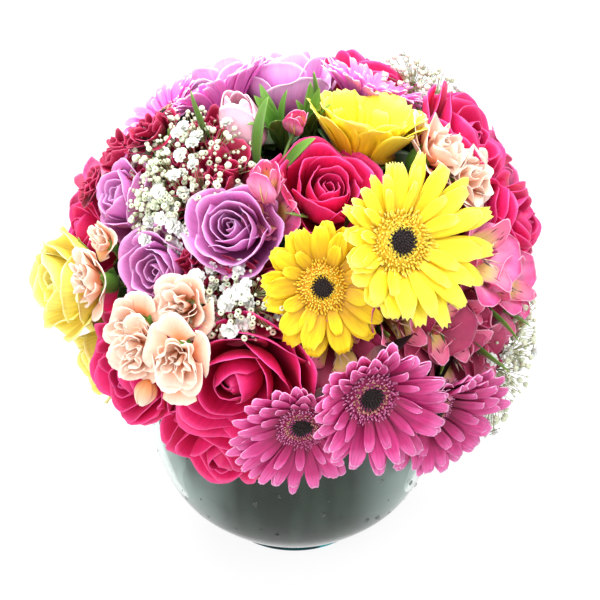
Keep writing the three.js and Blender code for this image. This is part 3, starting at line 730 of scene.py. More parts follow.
def petal_finish(name, stops, rim, vein_count=26, vein_depth=0.25, mottle=0.12, gloss=0.5, glow=0.1,
                 rim_from=0.93, spread=0.12, heart=1.0):
    """The stops run from the claw to the lip, and most finishes darken them towards the claw as painted
    shade. The rim colour is a pale edge with a painted highlight. The heart is how bright the inmost
    layer is kept: painted shade deep in the head.
    """
    material, tree, shader = new_finish(name)
    own_map = put_node(tree, "ShaderNodeUVMap", uv_map="petal").outputs["UV"]
    across, along, _ = put_node(tree, "ShaderNodeSeparateXYZ", {"Vector": own_map}).outputs
    tag = put_node(tree, "ShaderNodeAttribute", attribute_name="tag").outputs["Color"]
    layer, chance, _ = put_node(tree, "ShaderNodeSeparateColor", {"Color": tag}).outputs
    # veins: noise squeezed across the petal and drawn out along it
    own_place = maths(tree, "MULTIPLY", chance, VEIN_SHIFT)
    seat = put_node(tree, "ShaderNodeCombineXYZ", {"X": across, "Y": along, "Z": own_place}).outputs[0]
    squeeze = put_node(tree, "ShaderNodeMapping", {"Vector": seat, "Scale": (vein_count, VEIN_DRAW, 1)})
    veins = grain_of(tree, squeeze.outputs[0], 1, 3)
    # the ramp runs along the petal, a little unevenly, from painted shade at the claw towards the lip
    patches = grain_of(tree, body_place(tree), PATCH_SCALE, 2)
    uneven = maths(tree, "MULTIPLY_ADD", patches, spread, -spread / 2)
    base = ramp_of(tree, stops, maths(tree, "ADD", along, uneven))
    # a pale rim at the lip: the thin edge's own paler colour, with a painted highlight
    rimmed = mixed(tree, stretched(tree, along, rim_from, 1), base, colour(*rim))
    # veins darken it, each petal has its own strength, and inner layers are darkened as painted shade
    dark = stretched(tree, veins, 0.3, 0.7, 1 - mottle, 1 + mottle * 0.6)
    own = stretched(tree, chance, 0, 1, *STRENGTHS)
    heart_shade = stretched(tree, layer, 0, 1, heart, 1)
    strength = maths(tree, "MULTIPLY", maths(tree, "MULTIPLY", dark, own), heart_shade)
    toned = put_node(tree, "ShaderNodeHueSaturation", {"Color": rimmed, "Value": strength})
    tree.links.new(toned.outputs["Color"], shader.inputs["Base Color"])
    add_bump(tree, shader, veins, vein_depth, VEIN_HEIGHT)
    set_shader(shader, {"Roughness": gloss, "Specular IOR Level": 0.35, "Sheen Weight": 0.04,
                        "Sheen Roughness": 0.4, "Subsurface Weight": glow,
                        "Subsurface Radius": (1.0, 0.45, 0.45), "Subsurface Scale": 0.003})
    return material

print("veins are drawn out by:", VEIN_DRAW)

# %% [markdown]
# ## Roses
# A garden rose has a wound bud in the middle and rings of petals round it. Each ring is wider and
# leans out more than the one inside it, and its lips roll outwards. A lip rolls least at its middle,
# which leaves the small point that a rose petal has. The pink roses hold a tight bud in an open cup,
# and the lilac and yellow ones are wound in close rings all the way in.

# %% The rings of a rose, from the heart outwards
# Each ring: how many petals, claw, belly and rim points, lip length and roll, half width in degrees
# and how much shorter the sides are.
CUPPED_RINGS = [
    (3, (0.05, 0.2), (0.46, 0.70), (0.02, 1.14), 0.04, -10, 118, 0.05),
    (3, (0.06, 0.1), (0.48, 0.66), (0.20, 1.18), 0.05, 30, 100, 0.12),
    (3, (0.08, 0.05), (0.50, 0.52), (0.48, 1.16), 0.07, 60, 74, 0.18),
    (4, (0.10, 0.05), (0.56, 0.36), (0.70, 1.06), 0.10, 70, 60, 0.22),
    (5, (0.10, 0.02), (0.62, 0.18), (0.90, 0.94), 0.13, 75, 50, 0.24),
    (5, (0.10, 0.00), (0.66, 0.02), (1.04, 0.74), 0.15, 85, 48, 0.24),
]
WOUND_RINGS = [
    (2, (0.04, 0.2), (0.16, 0.60), (0.07, 0.96), 0.04, 20, 120, 0.06),
    (3, (0.06, 0.1), (0.30, 0.60), (0.19, 1.04), 0.05, 40, 96, 0.10),
    (3, (0.08, 0.1), (0.42, 0.56), (0.33, 1.12), 0.06, 60, 84, 0.12),
    (4, (0.08, 0.1), (0.56, 0.46), (0.50, 1.14), 0.10, 85, 70, 0.14),
    (4, (0.10, 0.05), (0.64, 0.26), (0.74, 1.02), 0.17, 100, 60, 0.18),
    (5, (0.10, 0.00), (0.72, 0.04), (1.00, 0.72), 0.19, 100, 50, 0.20),
]
PETAL_ROWS = 12
PETAL_COLUMNS = 14
HEART_NOD = 0.13
RING_TURN = 2.4


def rose_petal(ring, turn, layer, rng):
    _, claw, belly, rim, lip, roll, half, side_cut = ring
    lean = rng.uniform(-0.05, 0.05)
    rim = (rim[0] + lean, rim[1] - lean * 0.6 + rng.uniform(-0.04, 0.03))
    rolled = middle_line(claw, belly, rim, lip, roll * rng.uniform(0.8, 1.3))
    straight = middle_line(claw, belly, rim, lip, roll * 0.15)
    half = math.radians(half * rng.uniform(0.92, 1.08))
    wave, phase = rng.uniform(1.2, 2.6), rng.uniform(0, 2 * math.pi)
    ripple = 0.010 + 0.035 * layer
    crumpled = 0.4 + 0.6 * layer
    point = rng.uniform(-0.25, 0.25)
    curl = 0.14 * layer * rng.uniform(0.4, 1.6)

    def shape(u, v):
        v = v**0.8
        off = np.abs(u - point)
        reach = v * (1 - side_cut * off**1.6)
        rolling = np.clip(0.1 + 1.6 * off, 0, 1)
        (out, up), (rolled_out, rolled_up) = follow(straight, reach), follow(rolled, reach)
        out = out + (rolled_out - out) * rolling
        up = up + (rolled_up - up) * rolling
        # the corners curl outwards
        out = out + 0.022 * u * v + curl * np.abs(u) ** 4 * v**2
        up = up - 0.5 * curl * np.abs(u) ** 4 * v**2
        # slow waves along the lip, then small crumples all over
        out = out + ripple * np.sin(wave * u * 2 + phase) * v**3
        up = up + 0.7 * ripple * np.sin(wave * u * 2.3 + 2 * phase) * v**3
        crumple = 0.012 * np.sin(5.5 * u + 3 * phase) * np.sin(5 * v + phase)
        crumple = crumple + 0.010 * np.sin(11 * u - phase) * v**5
        out = out + crumpled * crumple
        up = up + 0.5 * crumpled * crumple
        return wrap(out, up, turn + half * u * (0.82 + 0.18 * np.sin(math.pi * v)))

    return shape


def rose_head(rings, rng):
    bm = bmesh.new()
    own = rng.random()
    turn = rng.uniform(0, 2 * math.pi)
    nod = random_nod(rng, HEART_NOD)
    for i, ring in enumerate(rings):
        layer = i / (len(rings) - 1)
        for j in range(ring[0]):
            place = turn + 2 * math.pi * (j + rng.uniform(-0.08, 0.08)) / ring[0]
            add_petal(bm, rose_petal(ring, place, layer, rng), PETAL_ROWS, PETAL_COLUMNS,
                      (layer, rng.random(), own), sway=nod * (1 - layer))
        turn += RING_TURN
    return bm


print("petals on an open rose:", sum(ring[0] for ring in CUPPED_RINGS))

# %% The roses
# Each ramp runs from painted shade at the claw to a painted highlight at the lip, over the rose's own colour.
rose_pink = petal_finish(
    "rose pink", [(0, 140, 0, 40), (0.4, 206, 14, 78), (0.8, 234, 32, 108), (1, 242, 54, 132)],
    (246, 84, 156), rim_from=0.97, heart=0.8, glow=0.18)
rose_lilac = petal_finish(
    "rose lilac", [(0, 110, 20, 72), (0.35, 174, 74, 146), (0.75, 218, 126, 198), (1, 232, 156, 218)],
    (236, 180, 230), rim_from=0.97, heart=0.72, glow=0.18)
rose_pale = petal_finish(
    "rose pale lilac", [(0, 190, 90, 168), (0.4, 232, 140, 214), (0.8, 246, 176, 236),
     (1, 252, 200, 246)],
    (255, 220, 252), rim_from=0.96, glow=0.18)
rose_yellow = petal_finish(
    "rose yellow", [(0, 244, 196, 36), (0.4, 252, 222, 80), (0.8, 255, 236, 112), (1, 255, 242, 140)],
    (255, 246, 176), rim_from=0.97, glow=0.18)
ROSE_FINISHES = {"pink": rose_pink, "lilac": rose_lilac, "yellow": rose_yellow}
OWN_ROSE_FINISHES = {"rose_lilac_top": rose_pale, "rose_lilac_back": rose_pale}
SPIRAL_PINKS = ["rose_pink_crown"]
ROSE_WALL = 0.35
for key in ROSES:
    kind = key.split("_")[1]
    rings = CUPPED_RINGS if kind == "pink" and key not in SPIRAL_PINKS else WOUND_RINGS
    bm = rose_head(rings, random.Random(key))
    bmesh.ops.transform(bm, matrix=head_matrix(key), verts=bm.verts)
    finish = OWN_ROSE_FINISHES.get(key, ROSE_FINISHES[kind])
    finish_piece(bm, key + "_petals", [finish], "rose_" + kind, [key], wall=ROSE_WALL)
print("roses:", len(ROSES))

# %% [markdown]
# ## Gerberas
# A gerbera is not one flower but a head of hundreds. The rays round the outside are the long florets,
# in two or three whorls. Inside them stand rings of short curly florets, and in the middle a dark eye
# of unopened ones. Rays are laid across their middle line, channelled, with a blunt notched tip. The
# low gerberas nod: their upper rays stand up and their lower rays hang.

# %% Sizes of a gerbera head, in shares of its radius
EYE_RADIUS = 0.19
DISC_RADIUS = 0.45
DISC_EDGE = 0.25
RAY_ROOT = 0.36
RAY_REACH = 0.70
EYE_BUDS = 90
# Rays in a whorl, half width of a ray, how many degrees the head nods, how uneven its rays are in
# length, and where the short rays stand, in degrees clockwise from the top
HABITS = {
    "yellow": (14, 0.17, 0, 0, 0),
    "magenta": (17, 0.14, 0, 0, 0),
    "pink": (25, 0.105, 0, 0.08, 0),
}
OWN_HABITS = {
    "gerbera_yellow_front": (13, 0.20, 8, 0.12, -60),
    "gerbera_yellow_right": (18, 0.15, 14, 0.36, -82),
    "gerbera_yellow_crown": (13, 0.26, 10, 0.05, 0),
    "gerbera_magenta_front": (22, 0.125, 34, 0.30, 30),
    "gerbera_magenta_middle": (21, 0.13, 32, 0.32, -55),
    "gerbera_magenta_right": (20, 0.145, 34, 0.30, -60),
}
# Heads whose rays rise more than those of the solid, in degrees
OWN_CUPS = {"gerbera_pink_crown_left": 46, "gerbera_pink_crown_right": 40}
# Each whorl: share of the count, share of the length, lift, extra cup, share of the width and layer
WHORLS = [
    (1, 1.0, 0.0, -4, 1.0, 1.0),
    (1, 0.9, 0.03, 4, 0.95, 0.7),
    (0.6, 0.56, 0.06, 14, 0.6, 0.35),
]
print("rays on a yellow gerbera:", sum(round(HABITS["yellow"][0] * whorl[0]) for whorl in WHORLS))

# %% Rays
STRONG_NOD = 20
RAY_GRID = (9, 6)


def upward_turn(matrix):
    """The turn about a head's axis that points most nearly straight up in the room."""
    x, y, _ = matrix.to_3x3().transposed() @ Vector((0, 0, 1))
    return math.atan2(x, y)


def gerbera_rays(bm, key, cup, rng):
    own = rng.random()
    kind = key.split("_")[1]
    count, half_width, nod, uneven, short_side = OWN_HABITS.get(key, HABITS[kind])
    upward = upward_turn(head_matrix(key))
    ragged = 0.05 if kind == "yellow" else 0.02
    for share, length, lift, steeper, slimmer, layer in WHORLS:
        start = rng.random()
        whorl = round(count * share)
        for i in range(whorl):
            turn = 2 * math.pi * (i + start + rng.uniform(-0.24, 0.24)) / whorl
            upper = math.cos(turn - upward)
            lean = nod * (0.66 + 0.34 * upper)
            angle = math.radians(cup + steeper + lean + rng.uniform(-7, 7))
            short = math.cos(turn - upward - math.radians(short_side))
            reach = RAY_REACH * length * rng.uniform(0.88, 1.03) * (1 - uneven * short)
            base = DISC_EDGE + lift
            rim = (RAY_ROOT + reach * math.cos(angle), base + reach * math.sin(angle))
            swing = angle + math.radians(rng.uniform(8, 26))
            belly = (RAY_ROOT + 0.5 * reach * math.cos(swing), base + 0.5 * reach * math.sin(swing))
            claw = (RAY_ROOT - 0.06, DISC_EDGE - 0.04 + lift)
            line = middle_line(claw, belly, rim, 0.04, rng.uniform(0, 90))
            channel = rng.choice((0.035, 0.05, -0.03, 0.02))
            channel += 0.05 * max(upper, 0) if nod > STRONG_NOD else 0
            narrow = 1 - (0.35 * max(upper, 0) if key == "gerbera_yellow_right" else 0)
            width = half_width * slimmer * narrow * rng.uniform(0.82, 1.12)
            tip, teeth, sway = rng.uniform(0.08, 0.2), rng.uniform(0.0, ragged), rng.uniform(-0.06, 0.06)
            shape = strap_shape(line, width, turn, channel, tip, teeth, sway, wide_at=0.74)
            add_petal(bm, shape, *RAY_GRID, (layer, rng.random(), own))


print("the front gerbera's top is at turn", round(upward_turn(head_matrix("gerbera_yellow_front")), 2))

# %% The disc, its curly florets and the eye
# Each ring of florets: how many, radius, length and lean outwards in degrees
FLORET_RINGS = [
    (26, 0.19, 0.06, 4), (34, 0.215, 0.06, 14), (38, 0.25, 0.065, 22), (42, 0.285, 0.07, 28),
    (44, 0.32, 0.08, 36), (46, 0.355, 0.09, 42), (46, 0.395, 0.10, 50), (44, 0.435, 0.11, 56),
]
CROWN_RINGS = 5
EYE_STEPS = 20


def disc_height(radius):
    """The disc is a low dome: how high it is at a radius."""
    return DISC_EDGE + 0.13 * (1 - (radius / DISC_RADIUS) ** 2)


def gerbera_disc(bm):
    """The dome that the florets stand on. Its seam is closed by merging the two sides."""

    def shape(u, v):
        out = DISC_RADIUS * (1 - v * 0.75)
        return wrap(out, disc_height(out), math.pi * u)

    verts = add_petal(bm, shape, 4, 24, (0.5, 0.5, 0.5), 2)
    bmesh.ops.remove_doubles(bm, verts=verts, dist=1e-5)


def gerbera_florets(bm, key, rng):
    own = rng.random()
    beige_rings = 2 if "magenta" in key else 4
    rings = FLORET_RINGS[:CROWN_RINGS] if "crown" in key else FLORET_RINGS
    for k, (count, radius, length, lean) in enumerate(rings):
        for i in range(count):
            turn = 2 * math.pi * (i + rng.uniform(-0.35, 0.35)) / count + k
            angle = math.radians(90 - lean + rng.uniform(-22, 22))
            claw = (radius, disc_height(radius) - 0.01)
            long = length * rng.uniform(0.8, 1.2)
            rim = (claw[0] + long * math.cos(angle), claw[1] + long * math.sin(angle))
            line = middle_line(claw, (claw[0], claw[1] + 0.5 * long), rim, 0.03, rng.uniform(-60, 140))
            add_petal(bm, strap_shape(line, rng.uniform(0.010, 0.016), turn, 0.01, 0.3), 3, 2,
                      (k / 7, rng.random(), own), 1 if k < beige_rings else 2)


def spin_outline(bm, outline, steps, merge=1e-6):
    """Spin an outline of (out, up) points round the upright axis, and close the seam."""
    verts = [bm.verts.new((out, 0, up)) for out, up in outline]
    edges = [bm.edges.new(pair) for pair in zip(verts, verts[1:])]
    bmesh.ops.spin(bm, geom=verts + edges, cent=(0, 0, 0), axis=(0, 0, 1), angle=2 * math.pi,
                   steps=steps, use_merge=True, use_duplicate=False)
    bmesh.ops.remove_doubles(bm, verts=bm.verts, dist=merge)
    bmesh.ops.recalc_face_normals(bm, faces=bm.faces)


def gerbera_eye(rng):
    """A low dome with small unopened buds standing on it."""
    bm = bmesh.new()
    bm.verts.layers.float_color.new("tag")
    angles = np.radians([0, 18, 36, 54, 72, 90])
    dome = [(EYE_RADIUS * math.sin(a), 0.30 + 0.12 * math.cos(a)) for a in angles]
    spin_outline(bm, dome, EYE_STEPS, 1e-4)
    bud = bmesh.new()
    bmesh.ops.create_cone(bud, cap_ends=True, segments=6, radius1=0.018, radius2=0.007, depth=0.06)
    for i in range(EYE_BUDS):
        share = math.sqrt((i + 0.5) / EYE_BUDS)
        turn = golden_turn(i)
        at = Vector((EYE_RADIUS * share * math.cos(turn), EYE_RADIUS * share * math.sin(turn),
                     0.31 + 0.12 * math.sqrt(1 - share**2 * 0.9)))
        tilt = Matrix.Rotation(turn, 4, "Z") @ Matrix.Rotation(share * 0.9 + rng.uniform(-0.2, 0.2), 4, "Y")
        append_bmesh(bm, bud, Matrix.Translation(at) @ tilt @ Matrix.Scale(rng.uniform(0.8, 1.3), 4))
    bud.free()
    return bm


print("florets on a disc:", sum(ring[0] for ring in FLORET_RINGS))

# %% The gerberas
# The ray ramps darken towards the claw as painted shade under the florets, over each ray's own colour.
gerbera_yellow = petal_finish(
    "gerbera yellow", [(0, 152, 92, 0), (0.35, 204, 150, 0), (0.75, 234, 192, 6), (1, 247, 214, 30)],
    (251, 228, 74), vein_count=9, mottle=0.2, rim_from=0.97)
gerbera_lemon = petal_finish(
    "gerbera lemon", [(0, 222, 150, 6), (0.3, 248, 208, 30), (0.75, 250, 228, 48), (1, 253, 238, 92)],
    (255, 244, 130), vein_count=9, mottle=0.14, rim_from=0.97)
gerbera_magenta = petal_finish(
    "gerbera magenta", [(0, 98, 4, 42), (0.3, 146, 14, 76), (0.7, 190, 44, 116), (1, 230, 110, 176)],
    (246, 176, 218), vein_count=9, mottle=0.26, rim_from=0.96, spread=0.3)
gerbera_pink = petal_finish(
    "gerbera pink", [(0, 216, 76, 172), (0.35, 246, 104, 204), (0.8, 252, 132, 220),
     (1, 255, 170, 238)],
    (255, 214, 248), vein_count=9, mottle=0.18, rim_from=0.93, spread=0.3, glow=0.2)
florets_yellow = petal_finish(
    "gerbera yellow florets", [(0, 90, 46, 4), (0.4, 200, 140, 10), (1, 252, 222, 60)],
    (255, 236, 110))
disc_yellow = petal_finish(
    "gerbera yellow disc", [(0, 150, 84, 0), (0.5, 226, 156, 4), (1, 246, 200, 30)],
    (255, 226, 80))
florets_beige = petal_finish(
    "gerbera beige florets", [(0, 80, 24, 44), (0.5, 150, 80, 84), (1, 206, 142, 126)],
    (222, 172, 146))
disc_magenta = petal_finish(
    "gerbera magenta disc", [(0, 96, 6, 44), (0.6, 150, 24, 84), (1, 206, 84, 150)],
    (250, 176, 216))
disc_lemon = petal_finish(
    "gerbera lemon disc", [(0, 120, 80, 6), (0.5, 236, 190, 24), (1, 250, 226, 80)],
    (255, 240, 130))
GERBERA_FINISHES = {"yellow": (gerbera_yellow, florets_yellow, disc_yellow),
                    "magenta": (gerbera_magenta, florets_beige, disc_magenta),
                    "pink": (gerbera_pink, florets_beige, disc_magenta),
                    "lemon": (gerbera_lemon, florets_yellow, disc_lemon)}
LEMON_HEADS = ("gerbera_yellow_right", "gerbera_yellow_crown")
RAY_WALL = 0.3
EYE_SHADES = [(0.35, 10, 5, 6), (0.7, 44, 20, 18)]
gerbera_eye_finish = grain_finish("gerbera eye", 900, 2, EYE_SHADES, 0.7, (0.4, 0.0004))
for key, (*_, cup) in GERBERAS.items():
    kind = key.split("_")[1]
    rng = random.Random(key)
    bm = bmesh.new()
    gerbera_rays(bm, key, OWN_CUPS.get(key, cup), rng)
    gerbera_disc(bm)
    gerbera_florets(bm, key, rng)
    bmesh.ops.transform(bm, matrix=head_matrix(key), verts=bm.verts)
    rays, florets, disc = GERBERA_FINISHES["lemon" if key in LEMON_HEADS else kind]
    finish_piece(bm, key + "_rays", [rays, florets, disc], "gerbera_" + kind, [key], wall=RAY_WALL)
    eye = gerbera_eye(rng)
    bmesh.ops.transform(eye, matrix=head_matrix(key), verts=eye.verts)
    stands_for = [key + "_eye"] if key + "_eye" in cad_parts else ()
    finish_piece(eye, key + "_eye_buds", [gerbera_eye_finish], "gerbera_eye", stands_for)
print("gerberas:", len(GERBERAS))

# %% [markdown]
# ## Spray carnations
# A carnation pushes many fan-shaped petals out of a green tube. Each fan is pinked along its edge and
# crumpled, so the head looks like a ruffled ball. The fans are wrapped round the head with a strong
# ripple that grows towards the rim, and the teeth are a fine zigzag in the length of the rows.

# %% Carnation heads
CARNATION_FULLNESS = 1.3
CARNATION_NOD = 0.16
CARNATION_TURN = 1.7
# Each ring: how many, belly, rim, half width in degrees, ripple and waves
FAN_RINGS = [
    (4, (0.18, 0.9), (0.14, 1.16), 64, 0.09, 5.0),
    (5, (0.32, 0.9), (0.38, 1.26), 56, 0.13, 4.6),
    (5, (0.48, 0.80), (0.66, 1.20), 54, 0.13, 3.8),
    (5, (0.54, 0.62), (0.96, 0.90), 50, 0.11, 3.0),
]


def fan_shape(line, turn, wide, ripple, wave, phase):
    """A rippled fan with a zigzag rim, wrapped round the head."""

    def shape(u, v):
        teeth = np.abs((u * 4.5 + phase) % 1 - 0.5)
        reach = v * (1 - 0.20 * np.abs(u) ** 2) * (1 - 0.05 * teeth * v**8)
        out, up = follow(line, reach)
        out = out + ripple * np.sin(wave * u + phase) * v**2
        up = up + 0.7 * ripple * np.sin(1.3 * wave * u + 2 * phase) * v**2
        return wrap(out, up, turn + wide * u * (0.35 + 0.65 * v))

    return shape


def carnation_head(rng):
    bm = bmesh.new()
    own = rng.random()
    nod = random_nod(rng, CARNATION_NOD)
    for k, (count, belly, rim, half, ripple, waves) in enumerate(FAN_RINGS):
        for i in range(count):
            turn = 2 * math.pi * (i + rng.uniform(-0.25, 0.25)) / count + CARNATION_TURN * k
            lean = rng.uniform(-0.16, 0.14)
            line = middle_line((0.06, 0.35), belly, (rim[0] + lean, rim[1] - lean), 0.10, rng.uniform(10, 90))
            wide = math.radians(half * rng.uniform(0.85, 1.15))
            phase, wave = rng.uniform(0, 6.3), waves * rng.uniform(0.8, 1.2)
            shape = fan_shape(line, turn, wide, ripple, wave, phase)
            add_petal(bm, shape, 9, 18, (k / 3, rng.random(), own), sway=nod)
    return bm


def carnation_calyx(bm):
    line = middle_line((0.02, -0.08), (0.34, -0.1), (0.26, 0.66), 0.08, 50)

    def shape(u, v):
        out, up = follow(line, v * (1 - 0.16 * np.abs(np.sin(2.5 * math.pi * (u + 1))) * v**4))
        return wrap(out, up, math.pi * u)

    add_petal(bm, shape, 8, 20, (0.5, 0.5, 0))


def spray_bmesh(key, count, make_head, rng, fullness=1):
    spray = bmesh.new()
    for i in range(count):
        head = make_head(rng)
        append_bmesh(spray, head, head_matrix(f"{key}{i}") @ Matrix.Scale(fullness, 4))
        head.free()
    return spray


print("fans on a carnation:", sum(ring[0] for ring in FAN_RINGS))

# %% The carnation sprays
# The ramps darken towards the claw as painted shade inside the ruffled head, over each fan's own colour.
carnation_peach = petal_finish(
    "carnation peach", [(0, 222, 124, 52), (0.4, 246, 164, 118), (0.7, 251, 202, 176),
     (1, 253, 226, 208)],
    (255, 236, 222), vein_count=12, mottle=0.08, rim_from=0.97, heart=0.92, glow=0.15)
carnation_crimson = petal_finish(
    "carnation crimson", [(0, 50, 0, 12), (0.5, 112, 2, 34), (0.85, 156, 12, 56), (1, 182, 34, 80)],
    (206, 80, 124), vein_count=12, mottle=0.14, rim_from=0.97)
CARNATION_FINISHES = {"peach": carnation_peach, "crimson": carnation_crimson}
CARNATION_WALL = 0.25


def hanging_matrix(base, axis, size):
    """The place of something small that hangs: its base, the way it points and its size, in millimetres."""
    base, axis = Vector(base), Vector(axis).normalized()
    side = (base - FOCUS).cross(axis).normalized()
    turned = Matrix((side, axis.cross(side), axis)).transposed().to_4x4()
    return Matrix.Scale(MM, 4) @ Matrix.Translation(base) @ turned @ Matrix.Scale(size, 4)


def carnation_bud(rng):
    bm = bmesh.new()
    for i in range(4):
        line = middle_line((0.05, 0.0), (rng.uniform(0.96, 1.1), 0.55), (0.06 + 0.05 * (i % 2), 1.5))
        turn = math.radians(90 * i + rng.uniform(-12, 12))
        add_petal(bm, cup_shape(line, turn, 66, 0.12, 0.04), 10, 8, (1, rng.random(), 0.5))
    return bm


def loose_petal(rng):
    bm = bmesh.new()
    line = middle_line((0.0, 0.0), (0.15, 0.6), (0.4, 1.1), 0.1, 30)
    shape = strap_shape(line, 0.84, 0, 0.2, 0.24, 0.02, 0.05, 0.9, 0.25)
    add_petal(bm, shape, 9, 12, (1, rng.random(), 0.5))
    return bm


# The peach spray has a bud and one loose petal that hang below its open heads: base, way and size
HANGING = {"carnation_peach_front": [(carnation_bud, (-79, -138, 193), (-0.36, -0.14, -0.92), 11),
                                     (loose_petal, (-62, -148, 201), (0.1, -0.2, -0.97), 12.5)]}
for key in [*CARNATIONS, "carnation_crimson_deep"]:
    kind = key.split("_")[1]
    count = len(CARNATIONS.get(key, [])) + len(DEEP_HEADS.get(key, []))
    spray = spray_bmesh(key, count, carnation_head, random.Random(key), CARNATION_FULLNESS)
    for make, base, axis, size in HANGING.get(key, ()):
        extra = make(random.Random("hanging"))
        append_bmesh(spray, extra, hanging_matrix(base, axis, size))
        extra.free()
    stands_for = [key] if key in CARNATIONS else ()
    finish_piece(spray, key + "_petals", [CARNATION_FINISHES[kind]], "carnation_" + kind, stands_for,
                 wall=CARNATION_WALL)
print("carnation sprays:", len(CARNATIONS))

# %% [markdown]
# ## Alstroemerias
# An alstroemeria opens like a small lily, with six tepals: three broad ones and three narrow ones with
# a yellow throat and dark streaks. Six thin stamens lean out of the throat. The ones at the crown are
# still closed.

# %% Alstroemeria heads
CLOSED_FLARE = 0.34
CLOSED_NARROW = 0.7
TEPAL_GRID = (12, 10)


def alstroemeria_head(rng, closed=False):
    bm = bmesh.new()
    own = rng.random()
    flare = CLOSED_FLARE if closed else rng.uniform(0.85, 1.1)
    rise = 0.3 * (1 - flare)
    for i in range(6):
        broad = i % 2 == 0
        turn = math.radians(60 * i + rng.uniform(-10, 10))
        reach = flare * rng.uniform(0.9, 1.15)
        rim = (1.02 * reach, 1.30 + rise) if broad else (0.80 * reach, 1.40 + rise)
        line = middle_line((0.06, -0.05), (0.36 + 0.1 * (1 - flare), 0.95), rim, 0.16, rng.uniform(0, 70))
        width = (0.84 if broad else 0.38) * (CLOSED_NARROW if closed else 1)
        channel, sway = rng.uniform(0.1, 0.26), rng.uniform(-0.1, 0.1)
        shape = strap_shape(line, width, turn, channel, 0.26, 0.012, sway, 0.7, 0.2)
        kind = 0 if broad else 1
        add_petal(bm, shape, *TEPAL_GRID, (kind, rng.random(), own), kind)
    if closed:
        return bm
    for i in range(6):
        turn = math.radians(60 * i + 30 + rng.uniform(-15, 15))
        line = middle_line((0.04, 0.3), (0.06, 1.1), (0.30, 1.36), 0.05, 30)
        add_petal(bm, strap_shape(line, 0.022, turn, 0.01, 0.3, 0, 0, 0.9, 0.9), 6, 2, (0.5, 0.5, own), 2)
    return bm


def closed_head(rng):
    return alstroemeria_head(rng, closed=True)


print("tepal grid:", TEPAL_GRID)

# %% The alstroemeria sprays
alstroemeria_broad = petal_finish(
    "alstroemeria broad", [(0, 190, 80, 90), (0.3, 226, 100, 142), (0.6, 252, 160, 200),
     (0.85, 242, 104, 164), (1, 228, 66, 134)],
    (250, 176, 212), vein_count=7, rim_from=0.97, mottle=0.24, spread=0.5, glow=0.2)
# A darker copy of the broad tepals for the low heads deep in the gap: painted shade.
alstroemeria_shaded_copy = petal_finish(
    "alstroemeria shaded copy", [(0, 70, 20, 30), (0.5, 138, 38, 70), (0.8, 182, 62, 102), (1, 166, 42, 90)],
    (208, 104, 146), vein_count=7, rim_from=0.97, mottle=0.24, spread=0.5)
STREAK_COLOUR = (90, 14, 36)


def streaked_finish():
    """The narrow tepals: yellow in the throat, with short dark dashes along their length."""
    material = petal_finish(
        "alstroemeria streaked", [(0, 220, 190, 100), (0.6, 246, 214, 130), (0.78, 238, 130, 160),
         (1, 226, 90, 140)],
        (246, 180, 206), vein_count=12, rim_from=0.97)
    tree = material.node_tree
    shader = tree.nodes["Principled BSDF"]
    before = shader.inputs["Base Color"].links[0].from_socket
    own_map = put_node(tree, "ShaderNodeUVMap", uv_map="petal").outputs["UV"]
    along = put_node(tree, "ShaderNodeSeparateXYZ", {"Vector": own_map}).outputs["Y"]
    drawn = put_node(tree, "ShaderNodeMapping", {"Vector": own_map, "Scale": (11, 5, 1)}).outputs[0]
    cells = put_node(tree, "ShaderNodeTexVoronoi", {"Vector": drawn, "Scale": 1, "Randomness": 0.8},
                     feature="F1").outputs["Distance"]
    dash = stretched(tree, cells, 0.22, 0.3, 1, 0)
    zone = maths(tree, "MULTIPLY", dash, stretched(tree, along, 0.35, 0.5))
    share = maths(tree, "MULTIPLY", zone, stretched(tree, along, 0.95, 0.8))
    tree.links.new(mixed(tree, share, before, colour(*STREAK_COLOUR)), shader.inputs["Base Color"])
    return material


alstroemeria_streaked = streaked_finish()
# The closed bud that stands up beside the front lilac rose: base, way and size
STANDING_BUD = ((-15, -108, 288), (0.06, -0.3, 1), 15)
ALSTROEMERIA_FULLNESS = 1.1
ALSTROEMERIA_WALL = 0.3
for key in [*ALSTROEMERIAS, "alstroemeria_deep"]:
    count = len(ALSTROEMERIAS.get(key, [])) + len(DEEP_HEADS.get(key, []))
    make_head = closed_head if key == "alstroemeria_crown" else alstroemeria_head
    spray = spray_bmesh(key, count, make_head, random.Random(key), ALSTROEMERIA_FULLNESS)
    if key == "alstroemeria_deep":
        bud = closed_head(random.Random("standing"))
        append_bmesh(spray, bud, hanging_matrix(*STANDING_BUD))
        bud.free()
    # the low heads in the gap get the darker copy, as painted shade
    broad = alstroemeria_shaded_copy if key == "alstroemeria_low" else alstroemeria_broad
    finish_piece(spray, key + "_tepals", [broad, alstroemeria_streaked, carnation_peach],
                 "alstroemeria", [key] if key in ALSTROEMERIAS else (), wall=ALSTROEMERIA_WALL)
print("alstroemeria sprays:", len(ALSTROEMERIAS))

# %% [markdown]
# ## The tulip
# One pale tulip stands closed in the crown. It has six smooth petals in two rings that lean in over
# each other.

# %% The tulip
# Belly and rim of its inner and outer petals
TULIP_RINGS = [((1.35, 0.1), (0.34, 1.95)), ((1.55, 0.0), (0.52, 1.90))]
TULIP_LIFT = 0.55


def tulip_head(rng):
    bm = bmesh.new()
    for k, (belly, rim) in enumerate(TULIP_RINGS):
        for i in range(3):
            turn = math.radians(120 * i + 60 * k + rng.uniform(-6, 6))
            line = middle_line((0.05, 0.0), belly, rim)
            add_petal(bm, cup_shape(line, turn, 64, 0.2, 0.05), 12, 10, (k, rng.random(), 0.5))
    return bm


